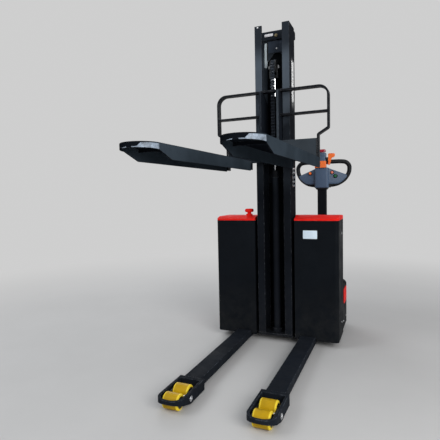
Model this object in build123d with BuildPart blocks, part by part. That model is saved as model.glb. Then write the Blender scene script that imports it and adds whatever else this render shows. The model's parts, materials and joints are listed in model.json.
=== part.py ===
from build123d import *
import os

os.makedirs("parts", exist_ok=True)

# A walk-behind electric stacker with a fixed single-stage mast, its forks raised.
# Millimetres. The floor is z = 0, x = 0 is the mast's centre plane and the forks point to -Y.
# "left" is -X and "right" is +X, as seen by someone who faces the forks.
sides = (("left", -1), ("right", 1))

# Overall sizes
body_width = 800.0
body_depth = 640.0  # mast face to the back of the rear skirt
fork_reach = 1240.0  # mast face to the fork tips
running = 0.05  # radial clearance of a shaft in its hole
room = 2.0  # clearance between neighbours that don't touch
half_body = body_width / 2
face = (fork_reach - body_depth) / 2  # y of the front face of the mast and the front panels

# Mast: two channels that open towards each other
mast_width = 220.0
mast_depth = 138.0
mast_top = 2016.0
mast_bottom = 45.0
flange_width = 45.0
flange_t = 12.0
web_t = 8.0
mast_base_t = 12.0
top_bar_t = 12.0
top_bar_h = 56.0
top_plate_h = 130.0
arch_h = 48.0
arch_flat = 40.0
arch_open = 110.0
eye_t = 10.0
eye_reach = 34.0
eye_h = 50.0
eye_hole_d = 20.0
eye_drop = 14.0  # mast top to the top of the lifting eyes
guard_t = 3.0
guard_bottom = 700.0
bead_w = 30.0
bead_h = 4.0
mast_back = face + mast_depth
mast_mid = face + mast_depth / 2
flange_gap = mast_width / 2 - flange_width  # half the gap between facing flanges
web_in = mast_width / 2 - web_t
guard_back = mast_back + guard_t + bead_h

# Forks: inverted channels with a rounded nose
fork_top = 1176.0
fork_low = 88.0  # height of the fork top with the carriage down
fork_centre = 215.0
fork_width = 168.0
fork_h = 62.0
fork_plate_t = 8.0
fork_wall_t = 6.0
fork_edge = 4.0
lip_root_h = 28.0
lip_tip_h = 24.0
slant = 98.0  # how far the side walls' lower front corners stand back from the nose
rib_t = 8.0
rod_drop = (fork_top - fork_low) / 2  # rod travel from the pose shown down to the lowest
fork_bottom = fork_top - fork_h
nose_r = fork_width / 2
nose_root = face - fork_reach + nose_r

# Carriage
plate_set = 54.0  # mast face to the front of the carriage plate
plate_inset = 16.0  # outer side of a fork to the end of the carriage plate
plate_t = 14.0
plate_over = 114.0  # plate above the fork top
plate_under = 16.0  # plate below the fork top
post_t = 13.0
post_set = 87.0  # mast face to the posts' front edges
post_gap = 4.0  # post to mast flange
heel_rise = 6.0  # underside of the forks to the heels behind them
post_rear_lip = 6.0
post_head = 70.0  # length of the posts' tapered heads
roller_gap = 1.0  # carriage roller to flange, and to post
roller_w = 30.0
roller_edge = 2.0
stub_d = 40.0
lower_stub = 39.0  # lower roller axis above the fork top
stub_pitch = 270.0
anchor_bar_h = 30.0
anchor_bar_over = 20.0  # underside of the anchor bar above the fork top
anchor_bar_back = 28.0  # mast face to the back of the anchor bar
plate_front = face - plate_set
plate_width = 2 * fork_centre + fork_width - 2 * plate_inset
post_out = flange_gap - post_gap
post_in = post_out - post_t
post_rear = mast_mid + stub_d / 2 + post_rear_lip
anchor_bar_z = fork_top + anchor_bar_over
lower_stub_z = fork_top + lower_stub
roller_near = flange_gap + roller_gap
carriage_roller_d = mast_depth - 2 * flange_t - 2 * roller_gap

# Load backrest: one bent flat bar with two middle bars, heights above the fork top
bar_t = 12.0
bar_depth = 40.0
backrest_h = 424.0
backrest_width = 710.0
backrest_r = 56.0
kink_r = 12.0
kink_low = 137.0
kink_high = 173.0
mid_bar_h = 270.0
bar_y = plate_front + bar_depth / 2
post_low = fork_top - plate_under
heel_low = fork_bottom + heel_rise
post_high = fork_top + backrest_h - bar_t

# Chain sheave on the rod's head, and the leaf chain
sheave_over = 587.0  # sheave axis above the fork top
chain_r = 42.0  # sheave axis to the middle of the chain
chain_w = 26.0
chain_h = 15.0
chain_slack = 0.5  # chain to the sheave's groove, and to its flanges
sheave_flange_d = 94.0
sheave_flange_t = 5.0
sheave_pin_d = 20.0
pin_head_d = 30.0
pin_head_t = 5.0
cheek_t = 8.0
cheek_d = 40.0
cheek_gap = 1.0
yoke_base_h = 18.0
yoke_gap = 3.0
sheave_z = fork_top + sheave_over
sheave_w = chain_w + 2 * chain_slack + 2 * sheave_flange_t
cheek_in = sheave_w / 2 + cheek_gap
cheek_out = cheek_in + cheek_t
yoke_bottom = sheave_z - sheave_flange_d / 2 - yoke_gap - yoke_base_h

# Lift cylinder on the mast's base plate
cylinder_set = 55.0  # mast face to the cylinder's axis
tube_d = 44.0
tube_bore = 35.0
tube_top = 1070.0
tube_floor_t = 15.0
foot_d = 62.0
foot_h = 24.0
gland_d = 50.0
gland_h = 46.0
gland_edge = 3.0
spigot_h = 30.0
rod_d = 30.0
piston_h = 25.0
cylinder_y = face + cylinder_set
tube_bottom = mast_bottom + mast_base_t
rod_bottom = tube_bottom + tube_floor_t + room + rod_drop
front_strand_y = cylinder_y - chain_r
rear_strand_y = cylinder_y + chain_r

# Chain anchors: blocks on bolts, held by nuts below a bar
anchor_bolt_d = 12.0
anchor_block_h = 30.0
anchor_nut_d = 22.0
anchor_nut_h = 12.0
anchor_tail = 10.0
bracket_z = 1060.0  # underside of the mast's chain bracket
bracket_t = 15.0
bracket_w = 40.0
bracket_cross_h = 60.0
tongue_front = rear_strand_y - anchor_nut_d / 2 - room

# Outrigger legs and their nose frames
leg_centre = 212.0
beam_width = 92.0
beam_bottom = 20.0
beam_top = 62.0
beam_wall = 10.0
beam_tail = 190.0  # length of beam behind the mast face
frame_width = 132.0
frame_wall = 12.0
frame_bottom = 12.0
frame_top = 66.0
frame_len = 257.0  # tip of a leg to the back of its nose frame
frame_back_t = 25.0
leg_reach = 1032.0  # mast face to the tip of the legs
toe_rise = 36.0
toe_len = 110.0
toe_r = 0.42 * frame_width
leg_tip = face - leg_reach
frame_back = leg_tip + frame_len
beam_back = face + beam_tail
beam_in = leg_centre - beam_width / 2

# Tandem bogies and load rollers
bogie_inset = 110.0  # tip of a leg to its bogie pin
axle_pitch = 96.0
load_roller_d = 74.0
load_roller_w = 78.0
load_roller_edge = 6.0
axle_d = 20.0
bogie_pin_d = 18.0
bogie_pin_proud = 4.0
bogie_t = 8.0
bogie_h = 32.0
bogie_gap = 2.0
axle_z = load_roller_d / 2
bogie_y = leg_tip + bogie_inset
bogie_in = load_roller_w / 2 + bogie_gap

# Front panels and caps
panel_t = 3.0
mast_slot = 20.0  # mast side to the panels' inner walls
panel_bottom = 40.0
panel_top = 793.0
panel_depth = 228.0
panel_r = 22.0
cap_h = 26.0
cap_lip = 12.0  # height of a cap's front edge, where its slope starts
cap_edge = 8.0
cap_wall = 4.0
cap_seam = 1.0  # centre plane to each cap
panel_inner = mast_width / 2 + mast_slot
panel_back = face + panel_depth
bay_x = (panel_inner + half_body) / 2
bay_w = half_body - panel_inner
cap_top = panel_top + cap_h

# Chassis, rear skirt and hood
floor_t = 8.0
floor_gap = 3.0  # floor plate to the panels
bulkhead_t = 8.0
deck_t = 10.0
skirt_top = 340.0
skirt_bottom = 60.0
skirt_r = 225.0
skirt_t = 4.0
skirt_edge = 16.0
hood_step = 70.0  # side of the skirt to the side of the hood
hood_inset = 44.0  # back of the hood to the back of the skirt
hood_top = 660.0
hood_r = 130.0
hood_edge = 30.0
hood_t = 4.0
hood_ledge = 10.0
trim_t = 4.0
trim_gap = 20.0  # front of the skirt to the side trims
trim_len = 140.0
trim_bottom = 222.0
trim_h = 100.0
trim_r = 20.0
skirt_front = panel_back + room
skirt_back = face + body_depth
hood_half = half_body - hood_step
hood_back = skirt_back - hood_inset
deck_z = skirt_top - skirt_t - deck_t
deck_top = deck_z + deck_t
floor_back = panel_back - room
bulkhead_front = floor_back - bulkhead_t
floor_top = beam_top + floor_t

# Steered drive unit
tiller_side = 170.0  # steering axis to the side of the body
tiller_inset = 175.0  # steering axis to the back of the skirt
drive_wheel_d = 230.0
drive_wheel_w = 70.0
drive_axle_d = 36.0
tyre_edge = 8.0
gear_case_t = 40.0
gear_case_w = 120.0
gear_case_low = 45.0
gear_case_gap = 5.0
neck_d = 140.0
neck_gap = 12.0  # drive wheel to the neck's underside
crown_h = 20.0
bearing_d = 164.0
bearing_h = 16.0
motor_d = 150.0
motor_h = 205.0
motor_edge = 6.0
tiller_x = half_body - tiller_side
tiller_y = skirt_back - tiller_inset
drive_axle_z = drive_wheel_d / 2
neck_bottom = drive_wheel_d + neck_gap
motor_bottom = deck_top + bearing_h + room
motor_top = motor_bottom + motor_h
case_in = drive_wheel_w / 2 + gear_case_gap
case_out = case_in + gear_case_t

# Tiller
column_d = 80.0
column_gap = 4.0
tilt_z = 735.0  # height of the tiller's tilt pin
saddle_h = 22.0
saddle_drop = 25.0  # tilt pin to the saddle's top
ear_t = 12.0
ear_d = 48.0
tilt_pin_d = 20.0
tilt_pin_proud = 5.0
arm_w = 62.0
arm_d = 40.0
arm_r = 8.0
hub_d = 44.0
hub_gap = 1.0
head_bottom = 998.0
block_w = 96.0
block_d = 72.0
block_h = 142.0
block_r = 10.0
tower_w = 58.0
tower_front = 44.0  # steering axis to the tower's front
tower_d = 70.0
tower_h = 106.0
tower_r = 8.0
wing_t = 26.0
wing_top = 140.0  # heights above the head's bottom
wing_mid_x = 118.0
wing_mid = 55.0
wing_out_x = 150.0
wing_out = 84.0
wing_low_x = 96.0
wing_low = 42.0
loop_half = 198.0
loop_d = 30.0
loop_top = 186.0
loop_side = 87.0
loop_low = 21.0
loop_low_x = 110.0
loop_top_r = 52.0
loop_side_r = 60.0
loop_back = 20.0  # loop's middle plane behind the steering axis
ear_in = arm_w / 2 + 2 * hub_gap
ear_out = ear_in + ear_t
block_top = head_bottom + block_h
tower_top = block_top + tower_h

# Controls on the tiller head
lever_over = 64.0  # lever's shaft above the block
lever_front = 30.0  # lever's shaft in front of the steering axis
lever_shaft_d = 12.0
lever_hub_d = 24.0
lever_hub_w = 30.0
lever_t = 14.0
lever_wing_w = 48.0
lever_wing_h = 82.0
lever_wing_drop = 7.0
lever_wing_r = 12.0
lever_gap = 1.0
belly_w = 54.0
belly_d = 46.0
belly_h = 18.0
belly_r = 8.0
belly_travel = 5.0
belly_stem_d = 24.0
belly_stem_h = 22.0
button_d = 18.0
button_proud = 5.0
button_deep = 10.0
button_travel = 3.0
button_gap = 0.3
button_edge = 1.5
lever_y = tiller_y - lever_front
lever_z = block_top + lever_over
wing_front = tiller_y - wing_t / 2
# name, distance from the steering axis, height above the head's bottom
buttons = (
    ("horn_button", -82.0, 106.0),
    ("lift_button", 72.0, 108.0),
    ("lower_button", 94.0, 82.0),
)

# Emergency switch on the left cap, key switch on the hood
knob_inset = 57.0  # inner wall of the left panel to the emergency knob
knob_set = 66.0
knob_d = 58.0
knob_h = 23.0
knob_edge = 9.0
knob_stem_d = 26.0
knob_stem_h = 44.0
knob_travel = 8.0
knob_rest = 3.0  # collar to head with the knob pressed
switch_d = 42.0
switch_h = 15.0
switch_body_d = 36.0
switch_body_h = 70.0
key_x = -90.0
key_inset = 150.0  # key to the back of the skirt
key_d = 26.0
key_lip = 5.0
key_h = 8.0
key_deep = 30.0
key_rise = 0.5
bow_t = 6.0
bow_w = 24.0
bow_h = 22.0
knob_x = -panel_inner - knob_inset
knob_y = face + knob_set
cap_slope = knob_set - switch_d / 2 - room  # depth of a cap's front slope
knob_z = cap_top + switch_h + knob_rest + knob_travel
key_y = skirt_back - key_inset

# Castor on the side away from the drive wheel
castor_side = 170.0  # castor axis to the side of the body
castor_wheel_d = 125.0
castor_wheel_w = 40.0
castor_tyre_edge = 6.0
castor_trail = 42.0
castor_stem_d = 36.0
castor_tube_d = 76.0
castor_tube_low = 172.0
castor_leg_t = 22.0
castor_leg_w = 50.0
castor_plate_t = 14.0
castor_plate_d = 90.0
castor_axle_d = 20.0
castor_gap = 1.0
castor_x = castor_side - half_body
castor_z = castor_wheel_d / 2
castor_plate_z = castor_tube_low - castor_gap - castor_plate_t

# Power and hydraulics behind the front panels
battery_room = 15.0  # walls of the bay to the battery
battery_d = 168.0
battery_h = 215.0
battery_gap = 16.0  # front panel to battery
terminal_d = 18.0
terminal_h = 14.0
terminal_inset = 40.0
tank_room = 25.0  # walls of the bay to the tank
tank_d = 150.0
tank_h = 160.0
tank_z = 360.0
pump_d = 112.0
pump_h = 170.0
controller_room = 35.0  # walls of the bay to the controller
controller_d = 60.0
controller_h = 160.0
controller_z = 420.0
fin_count = 7
fin_t = 5.0
fin_h = 14.0
battery_w = bay_w - 2 * battery_room
tank_w = bay_w - 2 * tank_room
controller_w = bay_w - 2 * controller_room


def rounded_back(z, half_width, front, back, radius):
    """A plan outline at height z, square at the front with two rounded back corners."""
    with BuildSketch(Plane.XY.offset(z)) as plan:
        with Locations((0, (front + back) / 2)):
            Rectangle(2 * half_width, back - front)
        fillet(plan.vertices().group_by(Axis.Y)[-1], radius)
    return plan.sketch


def disc(x, y, z, diameter):
    """A round outline at height z."""
    with BuildSketch(Plane.XY.offset(z)) as outline:
        with Locations((x, y)):
            Circle(diameter / 2)
    return outline.sketch


def wheel_disc(x, y, z, diameter):
    """A round outline that faces along X."""
    with BuildSketch(Plane.YZ.offset(x)) as outline:
        with Locations((y, z)):
            Circle(diameter / 2)
    return outline.sketch


# Mast

with BuildPart() as mast:
    with BuildSketch(Plane.XY.offset(mast_bottom)):
        for _, sx in sides:
            with Locations((sx * (mast_width - flange_width) / 2, mast_mid)):
                Rectangle(flange_width, mast_depth)
            with Locations((sx * (web_in + flange_gap) / 2, mast_mid)):
                Rectangle(web_in - flange_gap, mast_depth - 2 * flange_t, mode=Mode.SUBTRACT)
    extrude(amount=mast_top - mast_bottom)
    with Locations((0, mast_mid, mast_bottom + mast_base_t / 2)):
        Box(mast_width, mast_depth, mast_base_t)
    with Locations((0, mast_back - flange_t - top_bar_t / 2, mast_top - top_bar_h / 2)):
        Box(2 * web_in, top_bar_t, top_bar_h)
    # Plate between the rear flanges, arched at its lower edge
    with BuildSketch(Plane.XZ.offset(-mast_back)):
        plate_high = mast_top - top_bar_h / 2
        plate_low = mast_top - top_bar_h - top_plate_h
        with BuildLine():
            Polyline(
                (-flange_gap, plate_low),
                (-arch_open / 2, plate_low),
                (-arch_flat / 2, plate_low + arch_h),
                (arch_flat / 2, plate_low + arch_h),
                (arch_open / 2, plate_low),
                (flange_gap, plate_low),
                (flange_gap, plate_high),
                (-flange_gap, plate_high),
                close=True,
            )
        make_face()
    extrude(amount=flange_t)
    # Cross plate and tongue that hold the rear end of the chain
    with Locations((0, mast_back - flange_t / 2, bracket_z + bracket_t / 2)):
        Box(2 * flange_gap, flange_t, bracket_cross_h)
    with Locations((0, (tongue_front + mast_back) / 2, bracket_z + bracket_t / 2)):
        Box(bracket_w, mast_back - tongue_front, bracket_t)
    extrude(
        disc(0, rear_strand_y, bracket_z, anchor_bolt_d + 2 * running),
        amount=bracket_t,
        mode=Mode.SUBTRACT,
    )
    # Lifting eyes behind the rear flanges
    eye_y = mast_back + eye_reach / 2
    eye_z = mast_top - eye_drop - eye_h / 2
    for _, sx in sides:
        with BuildSketch(Plane.YZ.offset(sx * mast_width / 2)) as eye:
            with Locations((eye_y, eye_z)):
                Rectangle(eye_reach, eye_h)
            fillet(eye.vertices().group_by(Axis.X)[-1], eye_reach / 2.5)
            with Locations((eye_y, eye_z)):
                Circle(eye_hole_d / 2, mode=Mode.SUBTRACT)
        extrude(amount=-sx * eye_t)
mast.part.label = "mast"
export_step(mast.part, "parts/mast.step")

with BuildPart() as mast_guard:
    guard_top = mast_top - eye_drop - eye_h - room
    guard_mid = (guard_top + guard_bottom) / 2
    with Locations((0, mast_back + guard_t / 2, guard_mid)):
        Box(mast_width, guard_t, guard_top - guard_bottom)
    # Two upright stiffening beads
    for _, sx in sides:
        with Locations((sx * flange_gap, guard_back - bead_h / 2, guard_mid)):
            Box(bead_w, bead_h, guard_top - guard_bottom - 2 * bead_w)
mast_guard.part.label = "mast_guard"
export_step(mast_guard.part, "parts/mast_guard.step")

# Lift cylinder

with BuildPart() as cylinder_tube:
    extrude(disc(0, cylinder_y, tube_bottom, tube_d), amount=tube_top - tube_bottom)
    extrude(disc(0, cylinder_y, tube_bottom, foot_d), amount=foot_h)
    extrude(
        disc(0, cylinder_y, tube_bottom + tube_floor_t, tube_bore),
        amount=tube_top - tube_bottom,
        mode=Mode.SUBTRACT,
    )
cylinder_tube.part.label = "cylinder_tube"
export_step(cylinder_tube.part, "parts/cylinder_tube.step")

with BuildPart() as cylinder_gland:
    extrude(disc(0, cylinder_y, tube_top, gland_d), amount=gland_h)
    chamfer(cylinder_gland.faces().sort_by(Axis.Z)[-1].edges(), gland_edge)
    extrude(disc(0, cylinder_y, tube_top - spigot_h, tube_bore - 2 * running), amount=spigot_h)
    extrude(
        disc(0, cylinder_y, tube_top - spigot_h, rod_d + 2 * running),
        amount=spigot_h + gland_h,
        mode=Mode.SUBTRACT,
    )
cylinder_gland.part.label = "cylinder_gland"
export_step(cylinder_gland.part, "parts/cylinder_gland.step")

with BuildPart() as piston_rod:
    extrude(disc(0, cylinder_y, rod_bottom, rod_d), amount=yoke_bottom - rod_bottom)
    extrude(disc(0, cylinder_y, rod_bottom, tube_bore - 2 * running), amount=piston_h)
piston_rod.part.label = "piston_rod"
export_step(piston_rod.part, "parts/piston_rod.step")

# Rod head with the chain sheave

with BuildPart() as sheave_yoke:
    with Locations((0, cylinder_y, yoke_bottom + yoke_base_h / 2)):
        Box(2 * cheek_out, cheek_d, yoke_base_h)
    for _, sx in sides:
        with BuildSketch(Plane.YZ.offset(sx * cheek_in)):
            with Locations((cylinder_y, (yoke_bottom + sheave_z) / 2)):
                Rectangle(cheek_d, sheave_z - yoke_bottom)
            with Locations((cylinder_y, sheave_z)):
                Circle(cheek_d / 2)
                Circle(sheave_pin_d / 2 + running, mode=Mode.SUBTRACT)
        extrude(amount=sx * cheek_t)
sheave_yoke.part.label = "sheave_yoke"
export_step(sheave_yoke.part, "parts/sheave_yoke.step")

with BuildPart() as sheave_pin:
    extrude(wheel_disc(-cheek_out, cylinder_y, sheave_z, sheave_pin_d), amount=2 * cheek_out)
    for _, sx in sides:
        extrude(wheel_disc(sx * cheek_out, cylinder_y, sheave_z, pin_head_d), amount=sx * pin_head_t)
sheave_pin.part.label = "sheave_pin"
export_step(sheave_pin.part, "parts/sheave_pin.step")

with BuildPart() as sheave:
    groove_d = 2 * chain_r - chain_h - 2 * chain_slack
    extrude(wheel_disc(-sheave_w / 2, cylinder_y, sheave_z, groove_d), amount=sheave_w)
    for _, sx in sides:
        extrude(
            wheel_disc(sx * sheave_w / 2, cylinder_y, sheave_z, sheave_flange_d),
            amount=-sx * sheave_flange_t,
        )
    extrude(
        wheel_disc(-sheave_w / 2, cylinder_y, sheave_z, sheave_pin_d + 2 * running),
        amount=sheave_w,
        mode=Mode.SUBTRACT,
    )
sheave.part.label = "sheave"
export_step(sheave.part, "parts/sheave.step")

# Leaf chain: the bend over the sheave and its two strands

with BuildPart() as chain_bend:
    with BuildSketch(Plane.YZ.offset(-chain_w / 2)):
        with Locations((cylinder_y, sheave_z)):
            Circle(chain_r + chain_h / 2)
            Circle(chain_r - chain_h / 2, mode=Mode.SUBTRACT)
        with Locations((cylinder_y, sheave_z - 2 * chain_r)):
            Rectangle(4 * chain_r, 4 * chain_r, mode=Mode.SUBTRACT)
    extrude(amount=chain_w)
chain_bend.part.label = "chain_bend"
export_step(chain_bend.part, "parts/chain_bend.step")

strands = (
    ("chain_front", front_strand_y, anchor_bar_z + anchor_bar_h + anchor_block_h),
    ("chain_rear", rear_strand_y, bracket_z + bracket_t + anchor_block_h),
)
for strand_name, strand_y, strand_low in strands:
    with BuildPart() as strand:
        with Locations((0, strand_y, (strand_low + sheave_z) / 2)):
            Box(chain_w, chain_h, sheave_z - strand_low)
    strand.part.label = strand_name
    export_step(strand.part, f"parts/{strand_name}.step")

anchors = (
    ("front_chain_anchor", front_strand_y, anchor_bar_z, anchor_bar_h),
    ("rear_chain_anchor", rear_strand_y, bracket_z, bracket_t),
)
for anchor_name, anchor_y, bar_low, bar_h in anchors:
    with BuildPart() as anchor:
        with Locations((0, anchor_y, bar_low + bar_h + anchor_block_h / 2)):
            Box(chain_w, chain_h, anchor_block_h)
        bolt_low = bar_low - anchor_nut_h - anchor_tail
        extrude(disc(0, anchor_y, bolt_low, anchor_bolt_d), amount=bar_low + bar_h - bolt_low)
        with BuildSketch(Plane.XY.offset(bar_low - anchor_nut_h)):
            with Locations((0, anchor_y)):
                RegularPolygon(anchor_nut_d / 2, 6)
        extrude(amount=anchor_nut_h)
    anchor.part.label = anchor_name
    export_step(anchor.part, f"parts/{anchor_name}.step")

# Carriage with its rollers

with BuildPart() as carriage:
    with Locations((0, plate_front + plate_t / 2, fork_top + (plate_over - plate_under) / 2)):
        Box(plate_width, plate_t, plate_over + plate_under)
    for _, sx in sides:
        with BuildSketch(Plane.YZ.offset(sx * post_in)):
            with BuildLine():
                Polyline(
                    (face - post_set, post_low),
                    (post_rear, post_low),
                    (post_rear, post_high - post_head),
                    (plate_front + bar_depth, post_high),
                    (face - post_set, post_high),
                    close=True,
                )
            make_face()
        extrude(amount=sx * post_t)
        for stub_z in (lower_stub_z, lower_stub_z + stub_pitch):
            extrude(
                wheel_disc(sx * post_out, mast_mid, stub_z, stub_d),
                amount=sx * (roller_near + roller_w - post_out),
            )
        # Heel behind the fork's inner wall
        heel_x = sx * (fork_centre - (fork_width - bar_t) / 2)
        with Locations((heel_x, bar_y, (heel_low + fork_top) / 2)):
            Box(bar_t, bar_depth, fork_top - heel_low)
    bar_back = face + anchor_bar_back
    with Locations((0, (plate_front + bar_back) / 2, anchor_bar_z + anchor_bar_h / 2)):
        Box(2 * post_in, bar_back - plate_front, anchor_bar_h)
    extrude(
        disc(0, front_strand_y, anchor_bar_z, anchor_bolt_d + 2 * running),
        amount=anchor_bar_h,
        mode=Mode.SUBTRACT,
    )
carriage.part.label = "carriage"
export_step(carriage.part, "parts/carriage.step")

for level, stub_z in (("lower", lower_stub_z), ("upper", lower_stub_z + stub_pitch)):
    for side, sx in sides:
        with BuildPart() as carriage_roller:
            extrude(
                wheel_disc(sx * roller_near, mast_mid, stub_z, carriage_roller_d),
                amount=sx * roller_w,
            )
            chamfer(carriage_roller.edges().filter_by(GeomType.CIRCLE), roller_edge)
            extrude(
                wheel_disc(sx * roller_near, mast_mid, stub_z, stub_d + 2 * running),
                amount=sx * roller_w,
                mode=Mode.SUBTRACT,
            )
        carriage_roller.part.label = f"carriage_roller_{level}_{side}"
        export_step(carriage_roller.part, f"parts/carriage_roller_{level}_{side}.step")

with BuildPart() as backrest:
    low_x = (plate_width + bar_t) / 2
    high_x = (backrest_width - bar_t) / 2
    rail_z = fork_top + backrest_h - bar_t / 2
    with BuildLine(Plane.XZ.offset(-bar_y)) as bar_path:
        FilletPolyline(
            (-low_x, heel_low),
            (-low_x, fork_top + kink_low),
            (-high_x, fork_top + kink_high),
            (-high_x, rail_z),
            (high_x, rail_z),
            (high_x, fork_top + kink_high),
            (low_x, fork_top + kink_low),
            (low_x, heel_low),
            radius=[kink_r, kink_r, backrest_r, backrest_r, kink_r, kink_r],
        )
    with BuildSketch(Plane(origin=bar_path.line @ 0, x_dir=(1, 0, 0), z_dir=(0, 0, 1))):
        Rectangle(bar_t, bar_depth)
    sweep()
    bar_end = high_x - bar_t / 2
    for _, sx in sides:
        with Locations((sx * (post_out + bar_end) / 2, bar_y, fork_top + mid_bar_h)):
            Box(bar_end - post_out, bar_depth, bar_t)
backrest.part.label = "backrest"
export_step(backrest.part, "parts/backrest.step")

# Forks

for side, sx in sides:
    fork_x = sx * fork_centre
    with BuildPart() as fork:
        with BuildSketch(Plane.XY.offset(fork_bottom)):
            with Locations((fork_x, (nose_root + plate_front) / 2)):
                Rectangle(fork_width, plate_front - nose_root)
            with Locations((fork_x, nose_root)):
                Circle(nose_r)
        extrude(amount=fork_h)
        fillet(fork.faces().sort_by(Axis.Z)[-1].edges().filter_by(GeomType.CIRCLE), fork_edge)
        with BuildSketch(Plane.XY.offset(fork_bottom)):
            with Locations((fork_x, (nose_root + plate_front) / 2)):
                Rectangle(fork_width - 2 * fork_wall_t, plate_front - nose_root)
            with Locations((fork_x, nose_root)):
                Circle(nose_r - fork_wall_t)
        extrude(amount=fork_h - fork_plate_t, mode=Mode.SUBTRACT)
        # Stiffening rib across the nose
        with Locations((fork_x, nose_root + slant, fork_top - lip_root_h / 2)):
            Box(fork_width - fork_wall_t, rib_t, lip_root_h - fork_plate_t)
        # The walls rise to a shallow lip round the nose
        with BuildSketch(Plane.YZ.offset(fork_x)):
            with BuildLine():
                Polyline(
                    (nose_root + slant, fork_bottom),
                    (nose_root, fork_top - lip_root_h),
                    (face - fork_reach, fork_top - lip_tip_h),
                    (face - fork_reach - nose_r, fork_top - lip_tip_h),
                    (face - fork_reach - nose_r, fork_bottom),
                    close=True,
                )
            make_face()
        extrude(amount=fork_width, both=True, mode=Mode.SUBTRACT)
    fork.part.label = f"fork_{side}"
    export_step(fork.part, f"parts/fork_{side}.step")

# Outrigger legs with their bogies and load rollers

for side, sx in sides:
    leg_x = sx * leg_centre
    with BuildPart() as leg:
        with BuildSketch(Plane.XY.offset(frame_bottom)) as plan:
            with Locations((leg_x, (frame_back + leg_tip) / 2)):
                Rectangle(frame_width, frame_back - leg_tip)
            fillet(plan.vertices().group_by(Axis.Y)[0], toe_r)
        extrude(amount=frame_top - frame_bottom)
        well_back = frame_back - frame_back_t
        well_front = leg_tip + frame_wall
        with BuildSketch(Plane.XY.offset(frame_bottom)) as well:
            with Locations((leg_x, (well_back + well_front) / 2)):
                Rectangle(frame_width - 2 * frame_wall, well_back - well_front)
            fillet(well.vertices().group_by(Axis.Y)[0], toe_r - frame_wall)
        extrude(amount=frame_top - frame_bottom, mode=Mode.SUBTRACT)
        # The toe lifts towards the tip
        with BuildSketch(Plane.YZ.offset(leg_x)):
            with BuildLine():
                Polyline(
                    (leg_tip + toe_len, frame_bottom),
                    (leg_tip, frame_bottom + toe_rise),
                    (leg_tip - toe_len, frame_bottom + toe_rise),
                    (leg_tip - toe_len, frame_bottom),
                    close=True,
                )
            make_face()
        extrude(amount=frame_width, both=True, mode=Mode.SUBTRACT)
        # Beam: an inverted channel
        with BuildSketch(Plane.XZ.offset(-frame_back)):
            with Locations((leg_x, (beam_top + beam_bottom) / 2)):
                Rectangle(beam_width, beam_top - beam_bottom)
            with Locations((leg_x, (beam_top + beam_bottom) / 2 - beam_wall)):
                Rectangle(beam_width - 2 * beam_wall, beam_top - beam_bottom, mode=Mode.SUBTRACT)
        extrude(amount=frame_back - beam_back)
        extrude(
            wheel_disc(leg_x - frame_width / 2, bogie_y, axle_z, bogie_pin_d + 2 * running),
            amount=frame_width,
            mode=Mode.SUBTRACT,
        )
    leg.part.label = f"leg_{side}"
    export_step(leg.part, f"parts/leg_{side}.step")

with BuildPart() as bogie_pins:
    for _, sx in sides:
        pin_start = sx * leg_centre - frame_width / 2 - bogie_pin_proud
        extrude(
            wheel_disc(pin_start, bogie_y, axle_z, bogie_pin_d),
            amount=frame_width + 2 * bogie_pin_proud,
        )
bogie_pins.part.label = "bogie_pins"
export_step(bogie_pins.part, "parts/bogie_pins.step")

for side, sx in sides:
    leg_x = sx * leg_centre
    with BuildPart() as bogie:
        for plate_x in (leg_x - bogie_in - bogie_t, leg_x + bogie_in):
            with BuildSketch(Plane.YZ.offset(plate_x)):
                with Locations((bogie_y, axle_z)):
                    SlotCenterToCenter(axle_pitch, bogie_h)
                    Circle(bogie_pin_d / 2 + running, mode=Mode.SUBTRACT)
            extrude(amount=bogie_t)
        for end in (-1, 1):
            extrude(
                wheel_disc(leg_x - bogie_in, bogie_y + end * axle_pitch / 2, axle_z, axle_d),
                amount=2 * bogie_in,
            )
    bogie.part.label = f"bogie_{side}"
    export_step(bogie.part, f"parts/bogie_{side}.step")
    for end_name, end in (("front", -1), ("rear", 1)):
        with BuildPart() as load_roller:
            roller_x = leg_x - load_roller_w / 2
            roller_y = bogie_y + end * axle_pitch / 2
            extrude(wheel_disc(roller_x, roller_y, axle_z, load_roller_d), amount=load_roller_w)
            fillet(load_roller.edges().filter_by(GeomType.CIRCLE), load_roller_edge)
            extrude(
                wheel_disc(roller_x, roller_y, axle_z, axle_d + 2 * running),
                amount=load_roller_w,
                mode=Mode.SUBTRACT,
            )
        load_roller.part.label = f"load_roller_{side}_{end_name}"
        export_step(load_roller.part, f"parts/load_roller_{side}_{end_name}.step")

# Chassis: floor plates, cross-beam behind the mast, bulkhead, rear deck and castor tube

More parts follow.
